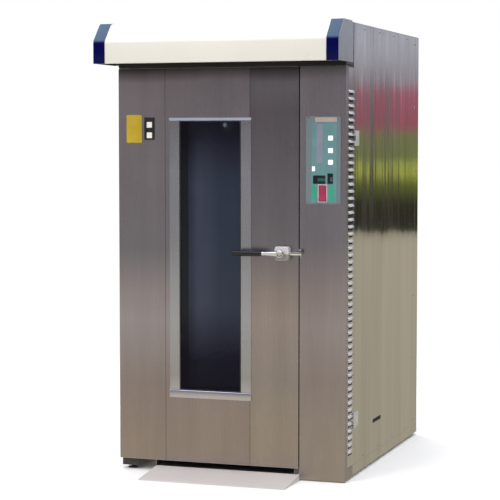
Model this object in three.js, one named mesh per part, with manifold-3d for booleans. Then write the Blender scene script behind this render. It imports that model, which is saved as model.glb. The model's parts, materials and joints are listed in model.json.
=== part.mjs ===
// Rotating rack oven: an insulated cabinet with a rack that hangs from a hook and turns in the hot air.
// Millimetres, +Z up, +X to the right seen from the front. The origin is under the middle of the whole oven.
// Below, y is counted from the front face of the door; the last group moves the oven back to the origin.
import * as THREE from 'three';
import { mergeVertices } from 'three/addons/utils/BufferGeometryUtils.js';
import Module from 'manifold-3d';

const wasm = await Module();
wasm.setup();

// ---- Driving sizes ------------------------------------------------------------------------------------

const fit = 0.3; // gap between two pieces that touch
const sheet = 2; // steel sheet of panels and linings

// cabinet
const bodyWidth = 1200;
const bodyDepth = 1520;
const bodyHeight = 2270;
const frontDepth = 139; // door and control column
const panelSeam = 3; // between the front module and the side panels
const panelBottom = 64;
const rearReturn = 76; // rear panel's folds on the two sides
const wallInsulation = 90;
const portalDepth = 60;
const doorwayLeft = bodyWidth / 2 - 196; // left of the middle
const doorwayRight = bodyWidth / 2 - 260; // right of the middle
const doorwayTop = bodyHeight - 260;

// chamber
const floorTop = 30;
const floorThickness = 6;
const chamberHeight = bodyHeight - 270;
const ductPanelX = bodyWidth / 2 - 228;
const rearSpaceDepth = 388;
const ceilingInsulation = 78;

// base
const runnerBottom = 18;
const runnerTop = 54;
const runnerWidth = 88;
const strapWidth = 40;
const strapBottom = 10;
const footRadius = 26;
const footHeight = 9;
const footStemRadius = 8;
const footInset = 60;

// door
const doorWidth = bodyWidth - 240;
const doorBottom = 58;
const doorTop = bodyHeight - 218;
const doorThickness = 131;
const doorSeamLeft = 346; // skin seams, left and right of the middle
const doorSeamRight = 105;
const skinGap = 1.5;
const skinFold = 14;
const glassLeft = 269;
const glassRight = 58;
const glassBottom = 425;
const glassTop = doorTop - 264;
const trimSide = 55;
const trimBottom = 41;
const trimTop = 14;
const trimThickness = 5;
const glassThickness = 5;
const glassRecess = 2;
const gasketWidth = 16;
const gasketOverlap = 2;

// door latch
const latchX = bodyWidth / 2 - 318;
const latchZ = 1131;
const housingWidth = 73;
const housingHeight = 70;
const housingDepth = 38;
const spindleRadius = 7;
const leverLength = 254; // latch axis to the end of the grip
const neckLength = 94; // latch axis to the grip
const gripRadius = 15;
const neckRadius = 10;
const leverStandoff = 60; // lever axis in front of the door
const tongueReach = 98;
const tongueHeight = 16;
const tongueThickness = 8;
const tongueStandoff = 9;
const keeperWidth = 14;
const keeperDrop = 20; // below and above the latch axis
const keeperRise = 31;
const keeperLip = 4;
const keeperClearance = 3;

// hinges
const doorHingeX = 11; // axis outside the left side
const doorHingeRadius = 8;
const doorHingeHeight = 120;
const doorHingeZ = [330, doorTop - 272];
const coverHingeX = 6; // axis outside the right side
const coverHingeRadius = 5;
const coverHingeZ = [290, bodyHeight - 570];
const coverHingeHeight = 75;
const coverHingeLeaf = 95;
const leafThickness = 2.5;
const hingePinShare = 0.5;

// control column
const seamWidth = 5; // between the door and the column
const columnBottom = 6;
const columnTop = bodyHeight - 216;
const columnReturn = 40; // front sheet's fold on the right side
const plateRight = bodyWidth / 2 - 25;
const plateLeft = plateRight - 177;
const plateTop = bodyHeight - 464;
const plateBottom = plateTop - 429;
const plateThickness = 5;
const buttonSize = 24;
const buttonX = plateLeft + 126;
const buttonZ = [224, 167, 106].map((drop) => plateTop - drop);
const buttonStandout = 4;
const buttonDepth = 16;
const buttonPlay = 0.5;
const switchX = plateLeft + 86;
const switchZ = plateTop - 377;
const switchWidth = 38;
const switchHeight = 76;
const switchTilt = 7; // degrees each way
const switchPlay = 2.5;
const switchThickness = 12;

// service cover
const louvreBottom = 136;
const louvreTop = bodyHeight - 345;
const louvrePitch = 35;
const louvreLength = 74;
const louvreHeight = 12;
const louvreBulge = 7;
const louvreWall = 1.2;
const coverFold = 8;
const coverPlay = 2;
const coverBottom = 66;
const coverTop = bodyHeight - 224;

// hood
const hoodReach = 244;
const hoodSide = 31; // past each side of the cabinet
const hoodBottom = bodyHeight - 203;
const hoodBreak = bodyHeight - 92; // where the face starts to slope back
const hoodSetback = 86;
const hoodSheet = 3;
const hoodWing = 20; // how far the cheeks run back along the sides
const capWidth = 61;
const capThickness = 2;

// header casing behind the hood
const headerBottom = bodyHeight - 212;

// ramp
const rampReach = 250;
const rampWidth = 766;
const rampPlate = 4;
const rampRibs = 4;

// rack
const rackWidth = 460;
const rackDepth = 620;
const rackTube = 25;
const rackBottom = 150;
const rackTop = bodyHeight - 430;
const tierPitch = 100;
const tierBottom = 215;
const runnerLeg = 22;
const runnerSheet = 2.5;
const wheelRadius = 50;
const wheelWidth = 26;
const wheelLift = 12; // wheels hang clear of the floor
const axleRadius = 6;
const forkSheet = 4;
const wheelPlay = 2;

// drive
const shaftRadius = 16;
const gearTeeth = 48;
const pinionTeeth = 12;
const toothModule = 5;
const gearThickness = 18;
const gearBottom = bodyHeight - 66;
const bridgeBottom = bodyHeight - 158;
const bridgeHeight = 28;
const bridgeWidth = 110;
const bearingTop = bodyHeight - 75;
const bearingRadius = 34;
const collarRadius = 26;
const collarHeight = 8;
const hookZ = bodyHeight - 385; // axis of the hanger pin
const hookRadius = 34;
const hookThickness = 20;
const hangerPinRadius = 10;
const hookEntry = 13; // lift of the rack when it is hooked on
const gearboxSize = 110;
const gearboxHeight = 52;
const gearmotorRadius = 46;
const gearmotorLength = 190;
const gearmotorFinPitch = 40;
const gearmotorFinWidth = 20;
const gearmotorFinStart = 34;
const terminalBoxX = [20, 72];
const terminalBoxY = [60, 130];
const terminalBoxHalf = 24;
const pinionShaftRadius = 9;

// fan
const fanRadius = 160;
const fanHubRadius = 30;
const fanInnerRadius = 95;
const fanBlades = 9;
const fanBladeHeight = 90;
const fanPlate = 3;
const fanTop = bodyHeight - 290;
const fanShaftRadius = 12;
const fanMotorRadius = 70;
const fanMotorHeight = 138;
const heaterRings = 3;
const heaterRingRadius = 165;
const heaterTubeRadius = 7;
const heaterPitch = 40;
const heaterTop = bodyHeight - 440;

// small openings and the lamp
const sideSlotY = [534, 702];
const sideSlotZ = [216, 236];
const ventRows = 4;
const ventX = [-360, 0, 360];
const ventHalf = 110;
const ductColumns = 4;
const ductRows = 7;
const ductSlotHalf = [7, 96]; // half width, half height
const inletRows = 9;
const inletHalf = 190;
const lampX = 219 - bodyWidth / 2;
const lampZ = bodyHeight - 494;

// electrics
const electricsPlateZ = [220, 1300];
const electricsPlateSide = [20, 40]; // clear of the column's left and right walls
const electricsPlateThickness = 3;
const electricsBlockSide = [40, 70];
const electricsBlockDepth = 40;
const electricsRailZ = [250, 1140];
const electricsRail = 12;
const electricsRailSide = 6; // in from the plate's edges
const electricsBlocks = [[300, 130], [460, 110], [640, 90], [800, 90], [960, 150], [1160, 100]]; // z, height

// ---- Worked out from them -----------------------------------------------------------------------------

const halfWidth = bodyWidth / 2;
const doorRight = doorWidth - halfWidth;
const columnLeft = doorRight + seamWidth;
const portalFront = frontDepth;
const portalBack = portalFront + portalDepth;
const chamberDepth = bodyDepth - portalBack - rearSpaceDepth - wallInsulation - 3 * sheet;
const chamberLeft = halfWidth - wallInsulation - 3 * sheet;
const chamberRight = halfWidth - wallInsulation - sheet; // outer face of the right wall
const chamberFront = portalBack + fit;
const chamberBack = portalBack + chamberDepth;
const rearSpaceBack = chamberBack + sheet + rearSpaceDepth;
const ceilingZ = floorTop + chamberHeight;
const jacketTop = ceilingZ + sheet + ceilingInsulation;
const tierCount = Math.floor((rackTop - rackTube - tierBottom - 2 * runnerLeg) / tierPitch) + 1;
const axisX = (ductPanelX - chamberLeft) / 2;
const axisY = portalBack + chamberDepth / 2;
const fanY = chamberBack + sheet + rearSpaceDepth / 2;
const wheelZ = floorTop + wheelLift + wheelRadius;
const gearPitchRadius = gearTeeth * toothModule / 2;
const pinionPitchRadius = pinionTeeth * toothModule / 2;
const pinionX = axisX + gearPitchRadius + pinionPitchRadius;
const bridgeTop = bridgeBottom + bridgeHeight;
const frontReach = Math.max(rampReach, hoodReach);
const originY = -(bodyDepth - frontReach) / 2;
const coverFront = columnReturn + coverPlay;
const coverBack = frontDepth;
const leverX0 = latchX - leverLength;
const gripX1 = latchX - neckLength;

// ---- Geometry helpers ---------------------------------------------------------------------------------

function toSolid(geometry) {
  const plain = geometry.clone();
  plain.deleteAttribute('normal');
  plain.deleteAttribute('uv');
  const merged = mergeVertices(plain, 1e-4);
  return new wasm.Manifold(new wasm.Mesh({
    numProp: 3,
    vertProperties: new Float32Array(merged.attributes.position.array),
    triVerts: new Uint32Array(merged.index.array),
  }));
}

function toGeometry(solid) {
  const mesh = solid.getMesh();
  const geometry = new THREE.BufferGeometry();
  geometry.setAttribute('position', new THREE.BufferAttribute(mesh.vertProperties, 3));
  geometry.setIndex(new THREE.BufferAttribute(mesh.triVerts, 1));
  geometry.computeVertexNormals();
  return geometry;
}

function join(...geometries) {
  return toGeometry(geometries.map(toSolid).reduce((whole, next) => whole.add(next)));
}

function cut(geometry, ...tools) {
  return toGeometry(tools.map(toSolid).reduce((rest, tool) => rest.subtract(tool), toSolid(geometry)));
}

function block([x0, x1], [y0, y1], [z0, z1]) {
  const box = new THREE.BoxGeometry(x1 - x0, y1 - y0, z1 - z0);
  return box.translate((x0 + x1) / 2, (y0 + y1) / 2, (z0 + z1) / 2);
}

function outline(points) {
  return new THREE.Shape(points.map(([u, v]) => new THREE.Vector2(u, v)));
}

function roundedRectangle(u0, u1, v0, v1, radius) {
  const shape = new THREE.Shape();
  shape.moveTo(u0 + radius, v0);
  shape.lineTo(u1 - radius, v0);
  shape.absarc(u1 - radius, v0 + radius, radius, -Math.PI / 2, 0);
  shape.lineTo(u1, v1 - radius);
  shape.absarc(u1 - radius, v1 - radius, radius, 0, Math.PI / 2);
  shape.lineTo(u0 + radius, v1);
  shape.absarc(u0 + radius, v1 - radius, radius, Math.PI / 2, Math.PI);
  shape.lineTo(u0, v0 + radius);
  shape.absarc(u0 + radius, v0 + radius, radius, Math.PI, 3 * Math.PI / 2);
  return shape;
}

const axes = {
  // where a drawn outline's u, v and its depth go
  x: [[0, 1, 0], [0, 0, 1], [1, 0, 0]],
  y: [[1, 0, 0], [0, 0, 1], [0, -1, 0]],
  z: [[1, 0, 0], [0, 1, 0], [0, 0, 1]],
};

// An outline extruded along an axis from one place to another. Drawn in y,z for x; in x,z for y; in x,y for z.
function prism(axis, shape, from, to, curveSegments = 4) {
  const geometry = new THREE.ExtrudeGeometry(shape, { depth: to - from, bevelEnabled: false, curveSegments });
  const [u, v, w] = axes[axis].map((direction) => new THREE.Vector3(...direction));
  geometry.applyMatrix4(new THREE.Matrix4().makeBasis(u, v, w));
  const start = { x: [from, 0, 0], y: [0, to, 0], z: [0, 0, from] }[axis];
  return geometry.translate(...start);
}

// A profile of [radius, place along the axis] turned round an axis through centre.
function turned(axis, profile, [x, y, z], segments = 24) {
  const points = profile.map(([radius, along]) => new THREE.Vector2(radius, along));
  const geometry = new THREE.LatheGeometry(points, segments);
  if (axis === 'z') geometry.rotateX(Math.PI / 2);
  if (axis === 'x') geometry.rotateZ(-Math.PI / 2);
  return geometry.translate(x, y, z);
}

function rod(axis, radius, from, to, centre, segments = 16) {
  return turned(axis, [[0, from], [radius, from], [radius, to], [0, to]], centre, segments);
}

// Radius of a faceted hole that leaves a round pin its gap.
function boreFor(radius, sides) {
  return (radius + fit) / Math.cos(Math.PI / sides);
}

function tube(axis, outer, inner, from, to, centre, segments = 24) {
  const profile = [[inner, from], [outer, from], [outer, to], [inner, to], [inner, from]];
  return turned(axis, profile, centre, segments);
}

// A tube along a curve.
function bentTube(curve, radius, sides, steps) {
  const ring = Array.from({ length: sides }, (_, i) => {
    const angle = 2 * Math.PI * i / sides;
    return new THREE.Vector2(radius * Math.cos(angle), radius * Math.sin(angle));
  });
  return new THREE.ExtrudeGeometry(new THREE.Shape(ring), { steps, bevelEnabled: false, extrudePath: curve });
}

const paint = {
  steel: { color: 0x8a8883, roughness: 0.35, metalness: 0.9 },
  darkSteel: { color: 0x4a4a4c, roughness: 0.5, metalness: 0.8 },
  galvanised: { color: 0x9aa0a2, roughness: 0.55, metalness: 0.7 },
  chrome: { color: 0xe6e6e6, roughness: 0.1, metalness: 1 },
  white: { color: 0xf2f0e6, roughness: 0.3, metalness: 0 },
  blue: { color: 0x0a1060, roughness: 0.3, metalness: 0 },
  glass: { color: 0x10151c, roughness: 0.05, metalness: 0 },
  insulation: { color: 0xb9a64a, roughness: 1, metalness: 0 },
  rubber: { color: 0x222222, roughness: 0.8, metalness: 0 },
  plastic: { color: 0x17181a, roughness: 0.4, metalness: 0 },
  red: { color: 0xb02030, roughness: 0.3, metalness: 0 },
  drive: { color: 0x2f5a86, roughness: 0.45, metalness: 0.3 },
  lamp: { color: 0xfff2c8, roughness: 0.2, metalness: 0 },
};

function piece(name, look, geometry) {
  const mesh = new THREE.Mesh(geometry, new THREE.MeshStandardMaterial(paint[look]));
  mesh.name = name;
  return mesh;
}

// ---- Base and chamber ---------------------------------------------------------------------------------

function baseFrame() {
  const inner = halfWidth - sheet - 1 - runnerWidth;
  const outer = halfWidth - sheet - 1;
  const rear = bodyDepth - sheet - 1;
  const height = [runnerBottom, runnerTop];
  const left = block([-outer, -inner], [footInset - 35, rear], height);
  const right = block([inner + 1, outer], [portalFront + panelSeam, rear], height);
  const back = block([-outer, outer], [rear - runnerWidth + sheet, rear], height);
  const straps = [0.08, 0.42, 0.76].map((share) => {
    const y = chamberFront + share * (rearSpaceBack - chamberFront);
    return block([-outer, outer], [y, y + strapWidth], [strapBottom, floorTop - floorThickness - fit]);
  });
  const middle = (inner + outer) / 2;
  const corners = [
    [-middle, footInset],
    [middle, portalBack],
    [-middle, rear - footInset],
    [middle, rear - footInset],
  ];
  const feet = corners.map(([x, y]) => turned('z', [
    [0, 0], [footRadius, 0], [footRadius, footHeight / 2], [footStemRadius, footHeight],
    [footStemRadius, runnerBottom + 1], [0, runnerBottom + 1],
  ], [x, y, 0], 12));
  return piece('base_frame', 'darkSteel', join(left, right, back, ...straps, ...feet));
}

function chamberFloor() {
  const shape = outline([
    [-doorwayLeft, sheet], [doorwayRight, sheet], [doorwayRight, chamberFront],
    [chamberRight, chamberFront], [chamberRight, rearSpaceBack],
    [-chamberLeft, rearSpaceBack], [-chamberLeft, chamberFront], [-doorwayLeft, chamberFront],
  ]);
  const plate = prism('z', shape, floorTop - floorThickness, floorTop);
  const guards = [-doorwayLeft + 1, doorwayRight - sheet - 1].map((x) => (
    block([x, x + sheet], [sheet + 2, portalBack - 2], [floorTop - 1, runnerTop])));
  return piece('chamber_floor', 'steel', join(plate, ...guards));
}

function chamberLeftWall() {
  const wall = block([-chamberLeft, -chamberLeft + sheet], [chamberFront, rearSpaceBack - sheet - fit],
    [floorTop + fit, ceilingZ - fit]);
  return piece('chamber_left_wall', 'steel', wall);
}

function chamberRearWall() {
  const wall = block([-chamberLeft + sheet + fit, ductPanelX + sheet], [chamberBack, chamberBack + sheet],
    [floorTop + fit, ceilingZ - fit]);
  const slots = Array.from({ length: inletRows }, (_, row) => {
    const z = floorTop + 90 + row * 42;
    return block([axisX - inletHalf, axisX + inletHalf], [chamberBack - 1, chamberBack + sheet + 1], [z, z + 14]);
  });
  return piece('chamber_rear_wall', 'steel', cut(wall, ...slots));
}

function chamberRightWall() {
  const inner = chamberRight - sheet;
  const folded = outline([
    [inner, chamberFront], [chamberRight, chamberFront], [chamberRight, rearSpaceBack],
    [-chamberLeft, rearSpaceBack], [-chamberLeft, rearSpaceBack - sheet], [inner, rearSpaceBack - sheet],
  ]);
  return piece('chamber_right_wall', 'steel', prism('z', folded, floorTop + fit, ceilingZ - fit));
}

function chamberCeiling() {
  const plate = block([-chamberLeft, chamberRight], [chamberFront, rearSpaceBack], [ceilingZ, ceilingZ + sheet]);
  const shaftHole = rod('z', shaftRadius + 2, -1, sheet + 1, [axisX, axisY, ceilingZ]);
  const fanHole = rod('z', fanShaftRadius + 2, -1, sheet + 1, [axisX, fanY, ceilingZ]);
  return piece('chamber_ceiling', 'steel', cut(plate, shaftHole, fanHole));
}

// The wall that the hot air comes through, with columns of upright slots.
function airDuctPanel() {
  const wall = block([ductPanelX, ductPanelX + sheet], [chamberFront, chamberBack - fit],
    [floorTop + fit, ceilingZ - fit]);
  const slots = [];
  for (let column = 0; column < ductColumns; column += 1) {
    for (let row = 0; row < ductRows; row += 1) {
      const y = chamberFront + chamberDepth * (column + 0.5) / ductColumns;
      const z = floorTop + chamberHeight * (row + 0.5) / ductRows;
      slots.push(block([ductPanelX - 1, ductPanelX + sheet + 1], [y - ductSlotHalf[0], y + ductSlotHalf[0]],
        [z - ductSlotHalf[1], z + ductSlotHalf[1]]));
    }
  }
  return piece('air_duct_panel', 'steel', cut(wall, ...slots));
}

function insulationJacket() {
  const side = halfWidth - sheet - fit;
  const outer = block([-side, side], [chamberFront + fit, bodyDepth - sheet - fit], [runnerTop + fit, jacketTop]);
  const inner = block([-chamberLeft - fit, chamberRight + fit], [0, rearSpaceBack + fit],
    [0, ceilingZ + sheet + fit]);
  const shaftHole = rod('z', boreFor(bearingRadius, 16), 0, ceilingInsulation + 2, [axisX, axisY, ceilingZ + 1]);
  const fanHole = rod('z', fanShaftRadius + 4, 0, ceilingInsulation + 2, [axisX, fanY, ceilingZ + 1]);
  return piece('insulation_jacket', 'insulation', cut(outer, inner, shaftHole, fanHole));
}

// ---- Outer panels and door frame ----------------------------------------------------------------------

function sidePanels() {
  const depth = [frontDepth + panelSeam, bodyDepth - rearReturn - 1];
  const height = [panelBottom, bodyHeight - sheet - fit];
  const left = block([-halfWidth, -halfWidth + sheet], depth, height);
  const right = block([halfWidth - sheet, halfWidth], depth, height);
  const slot = block([halfWidth - sheet - 1, halfWidth + 1], sideSlotY, sideSlotZ);
  return [
    piece('left_side_panel', 'steel', left),
    piece('right_side_panel', 'steel', cut(right, slot)),
  ];
}

function rearPanel() {
  const height = [panelBottom, bodyHeight - sheet - fit];
  const front = bodyDepth - rearReturn;
  const tray = prism('z', outline([
    [-halfWidth, front], [-halfWidth + sheet, front], [-halfWidth + sheet, bodyDepth - sheet],
    [halfWidth - sheet, bodyDepth - sheet], [halfWidth - sheet, front], [halfWidth, front],
    [halfWidth, bodyDepth], [-halfWidth, bodyDepth],
  ]), height[0], height[1]);
  const vents = [];
  for (let row = 0; row < ventRows; row += 1) {
    for (const x of ventX) {
      const z = jacketTop + 32 + row * 26;
      vents.push(block([x - ventHalf, x + ventHalf], [bodyDepth - sheet - 1, bodyDepth + 1], [z, z + 9]));
    }
  }
  return piece('rear_panel', 'steel', cut(tray, ...vents));
}

function roofPanel() {
  const plate = block([-halfWidth, halfWidth], [frontDepth + fit, bodyDepth], [bodyHeight - sheet, bodyHeight]);
  return piece('roof_panel', 'steel', plate);
}

// The frame that the door shuts against: two posts and a lintel.
function doorPortal() {
  const side = halfWidth - sheet - fit;
  const shape = outline([
    [-side, runnerTop + fit], [-doorwayLeft - fit, runnerTop + fit], [-doorwayLeft - fit, doorwayTop],
    [doorwayRight + fit, doorwayTop], [doorwayRight + fit, runnerTop + fit], [side, runnerTop + fit],
    [side, doorTop], [-side, doorTop],
  ]);
  return piece('door_portal', 'steel', prism('y', shape, portalFront, portalBack));
}

function headerCasing() {
  const outer = block([-halfWidth, halfWidth], [0, frontDepth], [headerBottom, bodyHeight]);
  const inner = block([-halfWidth + sheet, halfWidth - sheet], [sheet, frontDepth + 1],
    [headerBottom + sheet, bodyHeight - sheet]);
  return piece('header_casing', 'steel', cut(outer, inner));
}

// ---- Hood ---------------------------------------------------------------------------------------------

function hoodOutline(inset, floor) {
  // the slope's normal moves its corners by a share of the inset
  const rise = bodyHeight - 1 - hoodBreak;
  const slope = Math.hypot(rise, hoodSetback);
  const lower = inset * (slope - hoodSetback) / rise;
  const upper = inset * (slope - rise) / hoodSetback;
  return outline([
    [-hoodReach + inset, floor], [hoodWing, floor],
    [hoodWing, bodyHeight - 1 - inset], [-hoodReach + hoodSetback + upper, bodyHeight - 1 - inset],
    [-hoodReach + inset, hoodBreak - lower],
  ]);
}

function hood() {
  const end = halfWidth + hoodSide;
  const skin = capThickness;
  const outer = prism('x', hoodOutline(skin, hoodBottom), -end, end);
  const inner = prism('x', hoodOutline(skin + hoodSheet, hoodBottom - 1), -end + hoodSheet, end - hoodSheet);
  const body = block([-halfWidth - fit, halfWidth + fit], [-fit, hoodWing + 1], [hoodBottom - 1, bodyHeight]);
  const closers = [-end, halfWidth + fit].map((x) => (
    block([x, x + hoodSide - fit], [hoodWing - hoodSheet, hoodWing], [hoodBottom, bodyHeight - skin - 1])));
  const shell = join(cut(outer, inner, body), ...closers);
  const caps = [['hood_cap_left', -end], ['hood_cap_right', end - capWidth]].map(([name, x]) => {
    const strip = prism('x', hoodOutline(0, hoodBottom), x, x + capWidth);
    const under = prism('x', hoodOutline(skin - fit, hoodBottom - 1), x - 1, x + capWidth + 1);
    const behind = block([x - 1, x + capWidth + 1], [-fit, hoodWing + 1], [hoodBottom - 1, bodyHeight + 1]);
    return piece(name, 'blue', cut(strip, under, behind));
  });
  return [piece('hood_shell', 'white', shell), ...caps];
}

function ramp() {
  const left = -(doorwayLeft - 4);
  const back = -1;
  const plate = prism('x', outline([
    [-rampReach, 0], [-rampReach, 1], [-rampReach + 12, rampPlate], [back, floorTop],
    [back, 0], [back - rampPlate, 0], [back - rampPlate, floorTop - rampPlate], [-rampReach + 24, 0],
  ]), left, left + rampWidth);
  const ribs = Array.from({ length: rampRibs }, (_, i) => {
    const x = left + (rampWidth - rampPlate) * i / (rampRibs - 1);
    const rib = outline([[-rampReach + 20, 0.5], [back - 1, 0.5], [back - 1, floorTop - 1]]);
    return prism('x', rib, x, x + rampPlate);
  });
  return piece('ramp', 'steel', join(plate, ...ribs));
}

// ---- Door ---------------------------------------------------------------------------------------------

function doorSkins(hingeLeaves) {
  const height = [doorBottom + sheet + fit, doorTop - sheet - fit];
  const edge = doorThickness - fit;
  // a sheet folded back at both edges, by as much as each edge asks for
  const tray = (x0, x1, fold0, fold1) => prism('z', outline([
    [x0, 0], [x1, 0], [x1, fold1], [x1 - sheet, fold1], [x1 - sheet, sheet],
    [x0 + sheet, sheet], [x0 + sheet, fold0], [x0, fold0],
  ]), height[0], height[1]);
  const left = tray(-halfWidth, -doorSeamLeft - skinGap, edge, skinFold);
  const right = tray(doorSeamRight + skinGap, doorRight, skinFold, edge);
  const window = block([-glassLeft - sheet - fit, glassRight + sheet + fit], [-1, skinFold],
    [glassBottom - sheet - fit, glassTop + sheet + fit]);
  return [
    piece('door_skin_left', 'steel', join(left, ...hingeLeaves)),
    piece('door_skin_centre', 'steel', cut(tray(-doorSeamLeft, doorSeamRight, skinFold, skinFold), window)),
    piece('door_skin_right', 'steel', right),
  ];
}

function doorLiner() {
  const back = doorThickness;
  const pan = prism('x', outline([
    [sheet, doorBottom], [back, doorBottom], [back, doorTop], [sheet, doorTop],
    [sheet, doorTop - sheet], [back - sheet, doorTop - sheet], [back - sheet, doorBottom + sheet],
    [sheet, doorBottom + sheet],
  ]), -halfWidth + sheet + fit, doorRight - sheet - fit);
  const window = block([-glassLeft - sheet - fit, glassRight + sheet + fit], [back - 10, back + 1],
    [glassBottom - sheet - fit, glassTop + sheet + fit]);
  return piece('door_liner', 'steel', cut(pan, window));
}

function doorInsulation() {
  const gapToSkin = sheet + fit;
  const slab = block([-halfWidth + gapToSkin, doorRight - gapToSkin], [skinFold + fit, doorThickness - gapToSkin],
    [doorBottom + gapToSkin, doorTop - gapToSkin]);
  const window = block([-glassLeft - gapToSkin, glassRight + gapToSkin], [0, doorThickness],
    [glassBottom - gapToSkin, glassTop + gapToSkin]);
  return piece('door_insulation', 'insulation', cut(slab, window));
}

// A seal round the sides and top of the doorway; the foot of the door passes over the sill.
function doorGasket() {
  const depth = [doorThickness + fit, portalFront - fit];
  const inner = [-doorwayLeft - gasketOverlap, doorwayRight + gasketOverlap];
  const shape = outline([
    [inner[0] - gasketWidth, doorBottom], [inner[0], doorBottom], [inner[0], doorwayTop + gasketOverlap],
    [inner[1], doorwayTop + gasketOverlap], [inner[1], doorBottom], [inner[1] + gasketWidth, doorBottom],
    [inner[1] + gasketWidth, doorwayTop + gasketOverlap + gasketWidth],
    [inner[0] - gasketWidth, doorwayTop + gasketOverlap + gasketWidth],
  ]);
  return piece('door_gasket', 'rubber', prism('y', shape, depth[0], depth[1]));
}

function windowPieces() {
  const flange = block([-glassLeft - trimSide, glassRight + trimSide], [-trimThickness, -fit],
    [glassBottom - trimBottom, glassTop + trimTop]);
  const sleeve = block([-glassLeft - sheet, glassRight + sheet], [-trimThickness, doorThickness - fit],
    [glassBottom - sheet, glassTop + sheet]);
  const hole = block([-glassLeft, glassRight], [-trimThickness - 1, doorThickness], [glassBottom, glassTop]);
  const pane = (y) => block([-glassLeft + fit, glassRight - fit], [y, y + glassThickness],
    [glassBottom + fit, glassTop - fit]);
  const innerGlassY = doorThickness - glassRecess - glassThickness;
  return [
    piece('window_trim', 'steel', cut(join(flange, sleeve), hole)),
    piece('door_glass_outer', 'glass', pane(glassRecess)),
    piece('door_glass_inner', 'glass', pane(innerGlassY)),
  ];
}

// ---- Latch --------------------------------------------------------------------------------------------

function latchHousing() {
  const shape = roundedRectangle(latchX - housingWidth / 2, latchX + housingWidth / 2,
    latchZ - housingHeight / 2, latchZ + housingHeight / 2, 12);
  const body = prism('y', shape, -housingDepth, -fit, 2);
  const slotY = [-tongueStandoff - tongueThickness - 1, -tongueStandoff + 1];
  const slot = block([latchX - spindleRadius - 6, latchX + housingWidth], slotY,
    [latchZ - housingHeight, latchZ + housingHeight]);
  const bore = rod('y', boreFor(spindleRadius, 16), -housingDepth - 1, slotY[1], [latchX, 0, latchZ]);
  return piece('latch_housing', 'chrome', cut(body, slot, bore));
}

function leverArm() {
  const hub = turned('y', [
    [0, -leverStandoff - 13], [16, -leverStandoff - 13], [20, -leverStandoff - 8],
    [20, -housingDepth - 3], [12, -housingDepth - fit], [0, -housingDepth - fit],
  ], [latchX, 0, latchZ], 16);
  const neck = turned('x', [
    [0, gripX1 - 22], [neckRadius * 0.6, gripX1 - 22], [neckRadius * 0.6, gripX1], [neckRadius, gripX1 + fit],
    [neckRadius * 1.15, gripX1 + 30], [neckRadius * 1.4, latchX - 14], [0, latchX - 14],
  ], [0, -leverStandoff, latchZ], 16);
  const tongueY = [-tongueStandoff - tongueThickness, -tongueStandoff];
  const spindle = rod('y', spindleRadius, -leverStandoff, tongueY[1], [latchX, 0, latchZ]);
  const end = latchX + tongueReach;
  const half = tongueHeight / 2;
  const shape = new THREE.Shape();
  shape.moveTo(latchX, latchZ - half);
  shape.lineTo(end - half, latchZ - half);
  shape.absarc(end - half, latchZ, half, -Math.PI / 2, Math.PI / 2);
  shape.lineTo(latchX, latchZ + half);
  shape.absarc(latchX, latchZ, half, Math.PI / 2, 3 * Math.PI / 2);
  const tongue = prism('y', shape, tongueY[0], tongueY[1], 5);
  return piece('lever_arm', 'chrome', join(hub, neck, spindle, tongue));
}

function leverGrip() {
  const core = neckRadius * 0.6 + fit;
  return piece('lever_grip', 'plastic', turned('x', [
    [0, leverX0], [gripRadius * 0.6, leverX0], [gripRadius * 0.92, leverX0 + 4], [gripRadius, leverX0 + 12],
    [gripRadius, gripX1 - 34], [gripRadius * 0.86, gripX1 - 8], [gripRadius * 0.7, gripX1 - fit],
    [core, gripX1 - fit], [core, gripX1 - 22 - fit], [0, gripX1 - 22 - fit],
  ], [0, -leverStandoff, latchZ], 16));
}

// A hook on the column: its lip hangs in front of the tongue, and the tongue leaves it downwards.
function latchKeeper() {
  const lipBack = -tongueStandoff - tongueThickness - keeperClearance;
  const top = latchZ + tongueHeight / 2 + 14;
  const lipEnd = latchZ - tongueHeight / 8;
  const shape = outline([
    [-fit, latchZ - keeperDrop], [-fit, latchZ + keeperRise], [-keeperLip - fit, latchZ + keeperRise],
    [-keeperLip - fit, top + keeperLip],
    [lipBack - keeperLip, top], [lipBack - keeperLip, lipEnd], [lipBack, lipEnd + 3], [lipBack, top - keeperLip - 3],
    [-keeperLip - fit, top - keeperLip], [-keeperLip - fit, latchZ - keeperDrop],
  ]);
  const x = latchX + tongueReach - keeperWidth / 2 - 6;
  return piece('latch_keeper', 'steel', prism('x', shape, x, x + keeperWidth));
}

// ---- Hinges -------------------------------------------------------------------------------------------

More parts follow.
